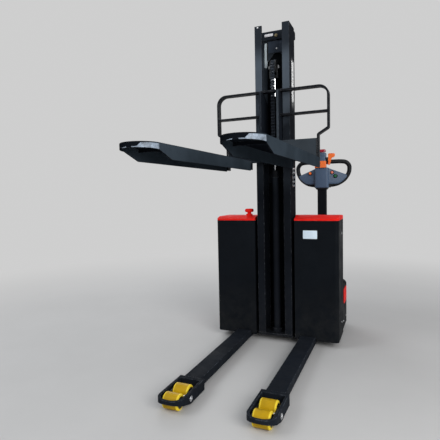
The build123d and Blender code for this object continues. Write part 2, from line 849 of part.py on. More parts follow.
with BuildPart() as chassis_frame:
    for _, sx in sides:
        floor_in = panel_inner + panel_t + floor_gap
        floor_out = half_body - panel_t - floor_gap
        floor_front = face + panel_t + floor_gap
        with BuildSketch(Plane.XY.offset(beam_top)) as plan:
            with Locations((sx * (floor_in + floor_out) / 2, (floor_front + floor_back) / 2)):
                Rectangle(floor_out - floor_in, floor_back - floor_front)
            fillet(plan.vertices().group_by(Axis.Y)[0], panel_r)
        extrude(amount=floor_t)
    with Locations((0, (mast_back + floor_back) / 2, (mast_bottom + floor_top) / 2)):
        Box(2 * beam_in, floor_back - mast_back, floor_top - mast_bottom)
    bulkhead_top = panel_top - cap_wall
    with Locations((0, bulkhead_front + bulkhead_t / 2, (beam_top + bulkhead_top) / 2)):
        Box(2 * (half_body - panel_t), bulkhead_t, bulkhead_top - beam_top)
    extrude(
        rounded_back(
            deck_z,
            half_body - skirt_edge - room,
            floor_back,
            skirt_back - skirt_edge - room,
            skirt_r - skirt_edge - room,
        ),
        amount=deck_t,
    )
    extrude(disc(tiller_x, tiller_y, deck_z, neck_d + 2 * room), amount=deck_t, mode=Mode.SUBTRACT)
    tube_h = deck_z - castor_tube_low
    extrude(disc(castor_x, tiller_y, castor_tube_low, castor_tube_d), amount=tube_h)
    extrude(
        disc(castor_x, tiller_y, castor_tube_low, castor_stem_d + 2 * running),
        amount=tube_h,
        mode=Mode.SUBTRACT,
    )
chassis_frame.part.label = "chassis_frame"
export_step(chassis_frame.part, "parts/chassis_frame.step")

# Front panels and caps

for side, sx in sides:
    corner = max(sx, 0)
    with BuildPart() as front_panel:
        with BuildSketch(Plane.XY.offset(panel_bottom)) as plan:
            with Locations((sx * bay_x, (face + panel_back) / 2)):
                Rectangle(bay_w, panel_depth)
            fillet(plan.vertices().group_by(Axis.Y)[0].sort_by(Axis.X)[corner], panel_r)
        extrude(amount=panel_top - panel_bottom)
        with BuildSketch(Plane.XY.offset(panel_bottom)) as hollow:
            with Locations((sx * bay_x, (face + panel_back + panel_t) / 2)):
                Rectangle(bay_w - 2 * panel_t, panel_depth - panel_t)
            fillet(hollow.vertices().group_by(Axis.Y)[0].sort_by(Axis.X)[corner], panel_r - panel_t)
        extrude(amount=panel_top - panel_bottom, mode=Mode.SUBTRACT)
        # The inner wall is as deep as the mast
        wall_x = sx * (panel_inner + panel_t / 2)
        with Locations((wall_x, (mast_back + panel_back) / 2, (panel_top + panel_bottom) / 2)):
            Box(panel_t, panel_back - mast_back, panel_top - panel_bottom, mode=Mode.SUBTRACT)
        # The leg comes out through a notch
        notch_h = beam_top + room - panel_bottom
        with Locations((sx * leg_centre, face + panel_t / 2, panel_bottom + notch_h / 2)):
            Box(beam_width + 2 * room, panel_t, notch_h, mode=Mode.SUBTRACT)
    front_panel.part.label = f"front_panel_{side}"
    export_step(front_panel.part, f"parts/front_panel_{side}.step")

for side, sx in sides:
    corner = max(sx, 0)
    with BuildPart() as cap:
        with BuildSketch(Plane.YZ.offset(sx * cap_seam)):
            with BuildLine():
                Polyline(
                    (face, panel_top),
                    (face, panel_top + cap_lip),
                    (face + cap_slope, cap_top),
                    (panel_back, cap_top),
                    (panel_back, panel_top),
                    close=True,
                )
            make_face()
        extrude(amount=sx * (half_body - cap_seam))
        outer_face = cap.faces().sort_by(Axis.X)[-corner]
        back_face = cap.faces().sort_by(Axis.Y)[-1]
        rim = outer_face.edges().sort_by(Axis.Z)[-2:]
        fillet([*rim, back_face.edges().sort_by(Axis.Z)[-1]], cap_edge)
        with Locations((0, (face + guard_back + room) / 2, (panel_top + cap_top) / 2)):
            Box(2 * panel_inner, guard_back + room - face, cap_h, mode=Mode.SUBTRACT)
        # Hollow from below
        with BuildSketch(Plane.XY.offset(panel_top)):
            hollow_in = panel_inner + cap_wall
            hollow_out = half_body - cap_edge - cap_wall
            hollow_front = face + cap_slope
            hollow_back = panel_back - cap_wall
            with Locations((sx * (hollow_in + hollow_out) / 2, (hollow_front + hollow_back) / 2)):
                Rectangle(hollow_out - hollow_in, hollow_back - hollow_front)
        extrude(amount=cap_h - cap_wall, mode=Mode.SUBTRACT)
        # The outer front corner is round like the panel's
        with BuildSketch(Plane.XY.offset(panel_top)) as plan:
            with Locations((sx * half_body / 2, (face + panel_back) / 2)):
                Rectangle(half_body, panel_depth)
            fillet(plan.vertices().group_by(Axis.Y)[0].sort_by(Axis.X)[corner], panel_r)
        extrude(amount=cap_h, mode=Mode.INTERSECT)
        if sx * knob_x > 0:
            extrude(
                disc(knob_x, knob_y, panel_top, switch_body_d + 2 * running),
                amount=cap_h,
                mode=Mode.SUBTRACT,
            )
    cap.part.label = f"cap_{side}"
    export_step(cap.part, f"parts/cap_{side}.step")

# Rear skirt, hood and side trims

with BuildPart() as rear_skirt:
    extrude(
        rounded_back(skirt_bottom, half_body, skirt_front, skirt_back, skirt_r),
        amount=skirt_top - skirt_bottom,
    )
    rim = rear_skirt.faces().sort_by(Axis.Z)[-1].edges()
    fillet(rim.sort_by(Axis.Y)[1:], skirt_edge)
    front_face = rear_skirt.faces().sort_by(Axis.Y)[0]
    bottom_face = rear_skirt.faces().sort_by(Axis.Z)[0]
    offset(amount=-skirt_t, openings=[front_face, bottom_face])
    # Opening under the hood
    ledge = hood_t + hood_ledge
    extrude(
        rounded_back(
            skirt_top - skirt_t,
            hood_half - ledge,
            skirt_front,
            hood_back - ledge,
            hood_r - ledge,
        ),
        amount=skirt_t,
        mode=Mode.SUBTRACT,
    )
rear_skirt.part.label = "rear_skirt"
export_step(rear_skirt.part, "parts/rear_skirt.step")

with BuildPart() as rear_hood:
    extrude(
        rounded_back(skirt_top, hood_half, skirt_front, hood_back, hood_r),
        amount=hood_top - skirt_top,
    )
    rim = rear_hood.faces().sort_by(Axis.Z)[-1].edges()
    fillet(rim.sort_by(Axis.Y)[1:], hood_edge)
    front_face = rear_hood.faces().sort_by(Axis.Y)[0]
    bottom_face = rear_hood.faces().sort_by(Axis.Z)[0]
    offset(amount=-hood_t, openings=[front_face, bottom_face])
    roof_z = hood_top - hood_t
    extrude(
        disc(tiller_x, tiller_y, roof_z, column_d + 2 * column_gap),
        amount=hood_t,
        mode=Mode.SUBTRACT,
    )
    extrude(disc(key_x, key_y, roof_z, key_d + 2 * running), amount=hood_t, mode=Mode.SUBTRACT)
rear_hood.part.label = "rear_hood"
export_step(rear_hood.part, "parts/rear_hood.step")

with BuildPart() as side_trims:
    for _, sx in sides:
        with BuildSketch(Plane.YZ.offset(sx * half_body)):
            with Locations((skirt_front + trim_gap + trim_len / 2, trim_bottom + trim_h / 2)):
                RectangleRounded(trim_len, trim_h, trim_r)
        extrude(amount=sx * trim_t)
side_trims.part.label = "side_trims"
export_step(side_trims.part, "parts/side_trims.step")

# Batteries, controller and hydraulic power pack

with BuildPart() as batteries:
    battery_y = face + panel_t + battery_gap + battery_d / 2
    for _, sx in sides:
        with Locations((sx * bay_x, battery_y, floor_top + battery_h / 2)):
            Box(battery_w, battery_d, battery_h)
        for end in (-1, 1):
            terminal_x = sx * bay_x + end * (battery_w / 2 - terminal_inset)
            extrude(disc(terminal_x, battery_y, floor_top + battery_h, terminal_d), amount=terminal_h)
batteries.part.label = "batteries"
export_step(batteries.part, "parts/batteries.step")

with BuildPart() as hydraulic_tank:
    with Locations((-bay_x, bulkhead_front - tank_d / 2, tank_z + tank_h / 2)):
        Box(tank_w, tank_d, tank_h)
hydraulic_tank.part.label = "hydraulic_tank"
export_step(hydraulic_tank.part, "parts/hydraulic_tank.step")

with BuildPart() as pump_motor:
    extrude(disc(-bay_x, bulkhead_front - tank_d / 2, tank_z + tank_h, pump_d), amount=pump_h)
    chamfer(pump_motor.faces().sort_by(Axis.Z)[-1].edges(), motor_edge)
pump_motor.part.label = "pump_motor"
export_step(pump_motor.part, "parts/pump_motor.step")

with BuildPart() as controller:
    with Locations((bay_x, bulkhead_front - controller_d / 2, controller_z + controller_h / 2)):
        Box(controller_w, controller_d, controller_h)
    fin_pitch = (controller_w - fin_t) / (fin_count - 1)
    for fin in range(fin_count):
        fin_x = bay_x - (controller_w - fin_t) / 2 + fin * fin_pitch
        fin_y = bulkhead_front - controller_d - fin_h / 2
        with Locations((fin_x, fin_y, controller_z + controller_h / 2)):
            Box(fin_t, fin_h, controller_h)
controller.part.label = "controller"
export_step(controller.part, "parts/controller.step")

# Emergency switch and key switch

with BuildPart() as emergency_switch:
    extrude(disc(knob_x, knob_y, cap_top, switch_d), amount=switch_h)
    extrude(disc(knob_x, knob_y, cap_top - switch_body_h, switch_body_d), amount=switch_body_h)
    bore_z = knob_z - knob_stem_h - knob_travel - knob_rest
    extrude(
        disc(knob_x, knob_y, bore_z, knob_stem_d + 2 * running),
        amount=cap_top + switch_h - bore_z,
        mode=Mode.SUBTRACT,
    )
emergency_switch.part.label = "emergency_switch"
export_step(emergency_switch.part, "parts/emergency_switch.step")

with BuildPart() as emergency_knob:
    extrude(disc(knob_x, knob_y, knob_z, knob_d), amount=knob_h)
    fillet(emergency_knob.edges().filter_by(GeomType.CIRCLE), knob_edge)
    extrude(disc(knob_x, knob_y, knob_z - knob_stem_h, knob_stem_d), amount=knob_stem_h)
emergency_knob.part.label = "emergency_knob"
export_step(emergency_knob.part, "parts/emergency_knob.step")

with BuildPart() as key_switch:
    lip_z = hood_top + key_rise
    extrude(disc(key_x, key_y, hood_top - key_deep, key_d), amount=key_deep + key_rise)
    extrude(disc(key_x, key_y, lip_z, key_d + 2 * key_lip), amount=key_h)
    with Locations((key_x, key_y, lip_z + key_h + bow_h / 2)):
        Box(bow_t, bow_w, bow_h)
    fillet(key_switch.faces().sort_by(Axis.Z)[-1].edges().filter_by(Axis.X), bow_w / 3)
key_switch.part.label = "key_switch"
export_step(key_switch.part, "parts/key_switch.step")

# Steered drive unit

with BuildPart() as steering_bearing:
    extrude(disc(tiller_x, tiller_y, deck_top, bearing_d), amount=bearing_h)
    extrude(
        disc(tiller_x, tiller_y, deck_top, neck_d + 2 * running),
        amount=bearing_h,
        mode=Mode.SUBTRACT,
    )
steering_bearing.part.label = "steering_bearing"
export_step(steering_bearing.part, "parts/steering_bearing.step")

with BuildPart() as drive_unit:
    extrude(disc(tiller_x, tiller_y, neck_bottom, neck_d), amount=motor_bottom - neck_bottom)
    extrude(disc(tiller_x, tiller_y, motor_bottom, motor_d), amount=motor_h)
    case_high = neck_bottom + crown_h
    case_x = tiller_x + (case_in + case_out) / 2
    with Locations((case_x, tiller_y, (gear_case_low + case_high) / 2)):
        Box(gear_case_t, gear_case_w, case_high - gear_case_low)
    fillet(drive_unit.faces().sort_by(Axis.Z)[0].edges().filter_by(Axis.X), gear_case_w / 3)
    extrude(
        wheel_disc(tiller_x - drive_wheel_w / 2, tiller_y, drive_axle_z, drive_axle_d),
        amount=drive_wheel_w / 2 + case_in,
    )
drive_unit.part.label = "drive_unit"
export_step(drive_unit.part, "parts/drive_unit.step")

with BuildPart() as drive_wheel:
    wheel_x = tiller_x - drive_wheel_w / 2
    extrude(wheel_disc(wheel_x, tiller_y, drive_axle_z, drive_wheel_d), amount=drive_wheel_w)
    fillet(drive_wheel.edges().filter_by(GeomType.CIRCLE), tyre_edge)
    extrude(
        wheel_disc(wheel_x, tiller_y, drive_axle_z, drive_axle_d + 2 * running),
        amount=drive_wheel_w,
        mode=Mode.SUBTRACT,
    )
drive_wheel.part.label = "drive_wheel"
export_step(drive_wheel.part, "parts/drive_wheel.step")

# Castor

with BuildPart() as castor_fork:
    extrude(disc(castor_x, tiller_y, castor_plate_z, castor_plate_d), amount=castor_plate_t)
    stem_top = deck_z - castor_gap
    extrude(disc(castor_x, tiller_y, castor_plate_z, castor_stem_d), amount=stem_top - castor_plate_z)
    with BuildSketch(Plane.YZ.offset(castor_x - castor_leg_t / 2)):
        with BuildLine():
            Polyline(
                (tiller_y - castor_leg_w / 2, castor_plate_z),
                (tiller_y + castor_leg_w / 2, castor_plate_z),
                (tiller_y + castor_trail + castor_axle_d, castor_z),
                (tiller_y + castor_trail - castor_axle_d, castor_z),
                close=True,
            )
        make_face()
        with Locations((tiller_y + castor_trail, castor_z)):
            Circle(castor_axle_d)
    extrude(amount=castor_leg_t)
    axle_half = castor_leg_t / 2 + castor_gap + castor_wheel_w
    extrude(
        wheel_disc(castor_x - axle_half, tiller_y + castor_trail, castor_z, castor_axle_d),
        amount=2 * axle_half,
    )
castor_fork.part.label = "castor_fork"
export_step(castor_fork.part, "parts/castor_fork.step")

with BuildPart() as castor_wheels:
    for _, sx in sides:
        wheel_x = castor_x + sx * (castor_leg_t / 2 + castor_gap)
        extrude(
            wheel_disc(wheel_x, tiller_y + castor_trail, castor_z, castor_wheel_d),
            amount=sx * castor_wheel_w,
        )
    fillet(castor_wheels.edges().filter_by(GeomType.CIRCLE), castor_tyre_edge)
    extrude(
        wheel_disc(
            castor_x - axle_half,
            tiller_y + castor_trail,
            castor_z,
            castor_axle_d + 2 * running,
        ),
        amount=2 * axle_half,
        mode=Mode.SUBTRACT,
    )
castor_wheels.part.label = "castor_wheels"
export_step(castor_wheels.part, "parts/castor_wheels.step")

# Tiller column and tilt pin

with BuildPart() as tiller_base:
    saddle_top = tilt_z - saddle_drop
    column_h = saddle_top - saddle_h - motor_top
    extrude(disc(tiller_x, tiller_y, motor_top, column_d), amount=column_h)
    with Locations((tiller_x, tiller_y, saddle_top - saddle_h / 2)):
        Box(2 * ear_out, ear_d, saddle_h)
    for _, sx in sides:
        with BuildSketch(Plane.YZ.offset(tiller_x + sx * ear_in)):
            with Locations((tiller_y, tilt_z - saddle_drop / 2)):
                Rectangle(ear_d, saddle_drop)
            with Locations((tiller_y, tilt_z)):
                Circle(ear_d / 2)
                Circle(tilt_pin_d / 2 + running, mode=Mode.SUBTRACT)
        extrude(amount=sx * ear_t)
tiller_base.part.label = "tiller_base"
export_step(tiller_base.part, "parts/tiller_base.step")

with BuildPart() as tiller_pin:
    pin_half = ear_out + tilt_pin_proud
    extrude(wheel_disc(tiller_x - pin_half, tiller_y, tilt_z, tilt_pin_d), amount=2 * pin_half)
tiller_pin.part.label = "tiller_pin"
export_step(tiller_pin.part, "parts/tiller_pin.step")

# Tiller: arm, head and loop

with BuildPart() as tiller_arm:
    with BuildSketch(Plane.XY.offset(tilt_z)):
        with Locations((tiller_x, tiller_y)):
            RectangleRounded(arm_w, arm_d, arm_r)
    extrude(amount=head_bottom - tilt_z)
    hub_half = ear_in - hub_gap
    extrude(wheel_disc(tiller_x - hub_half, tiller_y, tilt_z, hub_d), amount=2 * hub_half)
    extrude(
        wheel_disc(tiller_x - hub_half, tiller_y, tilt_z, tilt_pin_d + 2 * running),
        amount=2 * hub_half,
        mode=Mode.SUBTRACT,
    )
tiller_arm.part.label = "tiller_arm"
export_step(tiller_arm.part, "parts/tiller_arm.step")

with BuildPart() as tiller_head:
    with BuildSketch(Plane.XY.offset(head_bottom)):
        with Locations((tiller_x, tiller_y)):
            RectangleRounded(block_w, block_d, block_r)
    extrude(amount=block_h)
    with BuildSketch(Plane.XY.offset(block_top)):
        with Locations((tiller_x, tiller_y - tower_front + tower_d / 2)):
            RectangleRounded(tower_w, tower_d, tower_r)
    extrude(amount=tower_h)
    for _, sx in sides:
        with BuildSketch(Plane.XZ.offset(-wing_front)):
            with BuildLine():
                Polyline(
                    (tiller_x, head_bottom + wing_top),
                    (tiller_x + sx * block_w / 2, head_bottom + wing_top),
                    (tiller_x + sx * wing_out_x, head_bottom + wing_out),
                    (tiller_x + sx * wing_mid_x, head_bottom + wing_mid),
                    (tiller_x + sx * wing_low_x, head_bottom + wing_low),
                    (tiller_x, head_bottom + wing_low),
                    close=True,
                )
            make_face()
        extrude(amount=-wing_t)
    # Pockets for the buttons and holes for the lever's shaft and the safety button's stem
    for _, button_x, button_z in buttons:
        with BuildSketch(Plane.XZ.offset(-wing_front)):
            with Locations((tiller_x + button_x, head_bottom + button_z)):
                Circle(button_d / 2 + button_gap)
        extrude(amount=-(button_deep + button_travel + button_gap), mode=Mode.SUBTRACT)
    extrude(
        wheel_disc(tiller_x - tower_w / 2, lever_y, lever_z, lever_shaft_d + 2 * running),
        amount=tower_w,
        mode=Mode.SUBTRACT,
    )
    belly_y = tiller_y - tower_front + tower_d / 2
    well_h = belly_stem_h + room
    extrude(
        disc(tiller_x, belly_y, tower_top - well_h, belly_stem_d + 2 * running),
        amount=well_h,
        mode=Mode.SUBTRACT,
    )
tiller_head.part.label = "tiller_head"
export_step(tiller_head.part, "parts/tiller_head.step")

with BuildPart() as tiller_loop:
    loop_x = loop_half - loop_d / 2
    for _, sx in sides:
        with BuildLine(Plane.XZ.offset(-tiller_y - loop_back)) as loop_path:
            FilletPolyline(
                (tiller_x + sx * tower_w / 2, head_bottom + loop_top),
                (tiller_x + sx * loop_x, head_bottom + loop_top),
                (tiller_x + sx * loop_x, head_bottom + loop_side),
                (tiller_x + sx * loop_low_x, head_bottom + loop_low),
                (tiller_x + sx * block_w / 2, head_bottom + loop_low),
                radius=[loop_top_r, loop_side_r, loop_side_r],
            )
        with BuildSketch(Plane(origin=loop_path.line @ 0, z_dir=loop_path.line % 0)):
            Circle(loop_d / 2)
        sweep()
tiller_loop.part.label = "tiller_loop"
export_step(tiller_loop.part, "parts/tiller_loop.step")

# Controls on the tiller head

with BuildPart() as butterfly_lever:
    hub_start = tower_w / 2 + lever_gap
    shaft_half = hub_start + lever_hub_w
    extrude(
        wheel_disc(tiller_x - shaft_half, lever_y, lever_z, lever_shaft_d),
        amount=2 * shaft_half,
    )
    for _, sx in sides:
        extrude(
            wheel_disc(tiller_x + sx * hub_start, lever_y, lever_z, lever_hub_d),
            amount=sx * lever_hub_w,
        )
        wing_x = tiller_x + sx * (hub_start + lever_hub_d / 2 + lever_wing_w / 2)
        with BuildSketch(Plane.XZ.offset(-lever_y - lever_t / 2)):
            with Locations((wing_x, lever_z - lever_wing_drop)):
                RectangleRounded(lever_wing_w, lever_wing_h, lever_wing_r)
        extrude(amount=lever_t)
butterfly_lever.part.label = "butterfly_lever"
export_step(butterfly_lever.part, "parts/butterfly_lever.step")

with BuildPart() as belly_button:
    dome_z = tower_top + belly_travel + lever_gap
    with BuildSketch(Plane.XY.offset(dome_z)):
        with Locations((tiller_x, belly_y)):
            RectangleRounded(belly_w, belly_d, belly_r)
    extrude(amount=belly_h)
    fillet(belly_button.faces().sort_by(Axis.Z)[-1].edges(), belly_r - 1)
    stem_z = dome_z - belly_stem_h
    extrude(disc(tiller_x, belly_y, stem_z, belly_stem_d), amount=belly_stem_h)
belly_button.part.label = "belly_button"
export_step(belly_button.part, "parts/belly_button.step")

for button_name, button_x, button_z in buttons:
    with BuildPart() as button:
        with BuildSketch(Plane.XZ.offset(-wing_front + button_proud)):
            with Locations((tiller_x + button_x, head_bottom + button_z)):
                Circle(button_d / 2)
        extrude(amount=-(button_proud + button_deep))
        fillet(button.faces().sort_by(Axis.Y)[0].edges(), button_edge)
    button.part.label = button_name
    export_step(button.part, f"parts/{button_name}.step")
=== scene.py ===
import itertools
import json
import math
import random
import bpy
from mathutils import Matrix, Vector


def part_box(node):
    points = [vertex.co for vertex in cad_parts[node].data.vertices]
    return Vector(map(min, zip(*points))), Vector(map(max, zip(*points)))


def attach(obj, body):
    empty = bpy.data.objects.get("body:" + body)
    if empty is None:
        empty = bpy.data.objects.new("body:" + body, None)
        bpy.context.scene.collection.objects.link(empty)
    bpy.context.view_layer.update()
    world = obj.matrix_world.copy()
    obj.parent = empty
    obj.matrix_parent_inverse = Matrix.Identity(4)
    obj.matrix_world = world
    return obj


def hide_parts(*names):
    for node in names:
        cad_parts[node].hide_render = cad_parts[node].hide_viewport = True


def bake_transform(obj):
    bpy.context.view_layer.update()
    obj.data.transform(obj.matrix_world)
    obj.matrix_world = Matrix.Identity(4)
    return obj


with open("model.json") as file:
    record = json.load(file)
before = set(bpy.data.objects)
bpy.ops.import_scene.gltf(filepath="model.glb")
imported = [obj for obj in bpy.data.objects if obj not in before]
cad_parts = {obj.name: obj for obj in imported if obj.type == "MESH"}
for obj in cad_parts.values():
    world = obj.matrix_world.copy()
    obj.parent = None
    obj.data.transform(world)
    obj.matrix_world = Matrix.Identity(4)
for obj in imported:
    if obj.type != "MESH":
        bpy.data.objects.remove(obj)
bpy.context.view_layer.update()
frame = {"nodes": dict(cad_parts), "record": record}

from types import SimpleNamespace

import bmesh
import bpy
from mathutils import Matrix, Vector

scene = bpy.context.scene
nodes = frame["nodes"]
chance = random.Random(7)
X, Y, Z = Vector((1, 0, 0)), Vector((0, 1, 0)), Vector((0, 0, 1))
SIDES = (-1, 1)
SHARP_ANGLE = math.radians(38)  # edges that turn more than this stay sharp


def low(node):
    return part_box(node)[0]


def high(node):
    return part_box(node)[1]


def middle(node):
    return (low(node) + high(node)) / 2


# Places that several sections measure from

mast_front, mast_foot = low("mast").yz
mast_out, mast_top = high("mast").xz
mast_back = low("mast_guard").y
fork_in, fork_tip = low("fork_right").xy
fork_out, fork_back, fork_top = high("fork_right")
roller_x, roller_end = middle("load_roller_right_front").x, high("load_roller_right_front").x

# Materials: each look is a small node tree on object coordinates, which ride with the piece


def shade(tree, kind, inputs=None, **settings):
    """A shader node with its inputs set or linked."""
    node = tree.nodes.new("ShaderNode" + kind)
    for key, value in settings.items():
        setattr(node, key, value)
    for key, value in (inputs or {}).items():
        if isinstance(value, bpy.types.NodeSocket):
            tree.links.new(value, node.inputs[key])
        else:
            node.inputs[key].default_value = value
    return node


def spread(tree, value, start, stop, to_start, to_stop, smooth=False):
    """A value's range from start to stop, stretched to another range."""
    inputs = {"Value": value, "From Min": start, "From Max": stop, "To Min": to_start, "To Max": to_stop}
    kind = "SMOOTHSTEP" if smooth else "LINEAR"
    return shade(tree, "MapRange", inputs, interpolation_type=kind).outputs["Result"]


def maths(tree, operation, *values, clamp=False):
    """The result of a Math node."""
    return shade(tree, "Math", dict(enumerate(values)), operation=operation, use_clamp=clamp).outputs[0]


def vectors(tree, operation, *values, output="Vector"):
    """A result of a Vector Math node."""
    return shade(tree, "VectorMath", dict(enumerate(values)), operation=operation).outputs[output]


def times(tree, a, b):
    return maths(tree, "MULTIPLY", a, b)


def plus(tree, a, b, clamp=True):
    return maths(tree, "ADD", a, b, clamp=clamp)


def mix(tree, factor, a, b):
    """Two colours mixed by the factor."""
    return shade(tree, "Mix", {0: factor, 6: a, 7: b}, data_type="RGBA").outputs[2]


def rgba(colour, gain=1.0):
    return tuple(min(1.0, c * gain) for c in colour) + (1.0,)


def noise(tree, coords, scale, detail, rough, stretch=(1, 1, 1)):
    mapped = shade(tree, "Mapping", {"Vector": coords, "Scale": stretch}).outputs["Vector"]
    inputs = {"Vector": mapped, "Scale": scale, "Detail": detail, "Roughness": rough}
    return shade(tree, "TexNoise", inputs).outputs["Fac"]


def add_painted_light(surface, facing, colour, start=None, stop=None, lean=0.0):
    """Painted light: a paler colour on the faces of one direction, all over or between two heights, with less
    beyond them.
    """
    tree = surface.tree
    turned_to = vectors(tree, "DOT_PRODUCT", surface.normal, facing, output="Value")
    share = spread(tree, turned_to, 0.5, 0.9, 0, 1)
    if start is not None:
        left_above, left_below, least = 0.25, 0.18, 0.02
        leaning = plus(tree, surface.ragged, times(tree, surface.place["X"], -lean), False)
        rising = spread(tree, leaning, start - 0.10, start + 0.06, 0, 1, True)
        faint = spread(tree, surface.place["Z"], start - 0.48, start - 0.34, least, left_below, True)
        falling = spread(tree, surface.ragged, stop - 0.06, stop + 0.08, 1, left_above, True)
        share = times(tree, times(tree, maths(tree, "MAXIMUM", rising, faint), falling), share)
    tint = mix(tree, surface.broad, rgba(colour, 0.70), rgba(colour, 1.15))
    surface.tone = mix(tree, share, surface.tone, tint)


def add_polish(surface, start, stop, near, far, share):
    """A smoother strip between two heights and two places along Y; share is the roughness left."""
    tree, soft_z, soft_y = surface.tree, 0.02, 0.006
    rising = spread(tree, surface.ragged, start - soft_z, start + soft_z, 0, 1)
    falling = spread(tree, surface.ragged, stop - soft_z, stop + soft_z, 1, 0)
    inner = spread(tree, surface.place["Y"], near - soft_y, near + soft_y, 0, 1)
    outer = spread(tree, surface.place["Y"], far - soft_y, far + soft_y, 1, 0)
    strip = times(tree, times(tree, rising, falling), times(tree, inner, outer))
    surface.gloss = times(tree, surface.gloss, spread(tree, strip, 0, 1, 1, share))


def add_hub(surface, centre, radius, colour):
    """Another colour inside a radius round an axle along X."""
    tree, soft = surface.tree, 0.0006
    arm = vectors(tree, "SUBTRACT", surface.coords, centre)
    reach = vectors(tree, "LENGTH", vectors(tree, "MULTIPLY", arm, (0, 1, 1)), output="Value")
    inside = spread(tree, reach, radius - soft, radius + soft, 1, 0)
    surface.tone = mix(tree, inside, surface.tone, rgba(colour))


def add_painted_rim_highlights(surface, centre, half, colour):
    """A painted highlight: a brighter colour towards both ends of rollers that stand at plus and minus the
    centre along X.
    """
    tree, wide, narrow = surface.tree, 0.010, 0.005
    side = maths(tree, "ABSOLUTE", surface.place["X"])
    offset = maths(tree, "ABSOLUTE", maths(tree, "SUBTRACT", side, centre))
    share = spread(tree, offset, half - wide, half - narrow, 0, 1)
    surface.tone = mix(tree, share, surface.tone, rgba(colour))


def add_wear_and_edge_highlights(surface, share, colour):
    """Chips of another colour along the edges, where the rounded normal leaves the flat one: worn paint in
    some looks, a painted edge highlight in others.
    """
    tree = surface.tree
    bend = vectors(tree, "DOT_PRODUCT", surface.soft, surface.normal, output="Value")
    edges = spread(tree, bend, 0.985, 0.86, 0, 1)
    chips = spread(tree, noise(tree, surface.coords, 46.0, 6.0, 0.7), 0.47, 0.6, 0, 1)
    worn = times(tree, times(tree, edges, chips), share)
    surface.tone = mix(tree, worn, surface.tone, rgba(colour))


def add_dust(surface, share):
    """Dust near the floor and on faces that look up, which also dulls the gloss."""
    tree = surface.tree
    upward = shade(tree, "SeparateXYZ", {0: surface.normal}).outputs["Z"]
    near_floor = spread(tree, surface.place["Z"], 0.02, 0.4, 0.8, 0)
    layer = plus(tree, near_floor, spread(tree, upward, 0.3, 1.0, 0, 0.45))
    cloud = spread(tree, noise(tree, surface.coords, 17.0, 7.0, 0.7), 0.35, 0.75, 0, share)
    settled = times(tree, layer, cloud)
    surface.tone = mix(tree, settled, surface.tone, rgba((0.23, 0.215, 0.19)))
    surface.gloss = plus(tree, surface.gloss, times(tree, settled, 0.5))


def look(
    name, colour, rough, mottle, grain, metallic=0.0, specular=0.5, stretch=(1, 1, 1), smear=0.25,
    edge=0.0016, sheen=0.0, wear_and_highlights=None, dust=0.0, hub=None, polish=None, painted_light=None, rims=None,
):
    """A surface with uneven colour and gloss, fine grain, rounded edges with wear or a painted highlight, and
    dust.

    Mottle and grain are (strength, scale) of the uneven colour and the fine bump; the edge chips are (share,
    colour).
    """
    (uneven, mottle_scale), (bumpy, grain_scale) = mottle, grain
    raggedness = 0.05
    material = bpy.data.materials.new(name)
    material.use_nodes = True
    tree = material.node_tree
    shader = tree.nodes["Principled BSDF"]
    coords = shade(tree, "TexCoord").outputs["Object"]
    surface = SimpleNamespace(tree=tree, coords=coords)
    surface.normal = shade(tree, "NewGeometry").outputs["Normal"]
    surface.soft = shade(tree, "Bevel", {"Radius": edge}, samples=6).outputs["Normal"]
    surface.broad = spread(tree, noise(tree, coords, mottle_scale, 5.0, 0.6), 0.32, 0.68, 0, 1)
    patches = noise(tree, coords, mottle_scale * 3.1, 4.0, 0.62, stretch)
    surface.tone = mix(tree, surface.broad, rgba(colour, 1 - uneven), rgba(colour, 1 + uneven))
    surface.gloss = spread(tree, patches, 0.3, 0.7, rough * (1 - smear), min(1.0, rough * (1 + smear)))
    surface.place = shade(tree, "SeparateXYZ", {0: coords}).outputs
    surface.ragged = plus(tree, surface.place["Z"], times(tree, patches, raggedness), False)
    # Painted light on faces of one direction and painted highlights at roller ends are added here, with hubs
    # and smoother strips
    for add, settings in ((add_painted_light, painted_light), (add_polish, polish), (add_hub, hub), (add_painted_rim_highlights, rims)):
        if settings:
            add(surface, **settings)
    # Edge chips: worn paint in some looks, a painted edge highlight in others
    if wear_and_highlights:
        add_wear_and_edge_highlights(surface, *wear_and_highlights)
    if dust:
        add_dust(surface, dust)
    fine = noise(tree, coords, grain_scale, 2.0, 0.5, stretch)
    relief = {"Strength": bumpy, "Distance": 0.0004, "Height": fine, "Normal": surface.soft}
    bump = shade(tree, "Bump", relief)
    tree.links.new(surface.tone, shader.inputs["Base Color"])
    tree.links.new(surface.gloss, shader.inputs["Roughness"])
    tree.links.new(bump.outputs["Normal"], shader.inputs["Normal"])
    shader.inputs["Metallic"].default_value = metallic
    shader.inputs["Specular IOR Level"].default_value = specular
    shader.inputs["Sheen Weight"].default_value = sheen
    material.diffuse_color = rgba(colour)
    return material
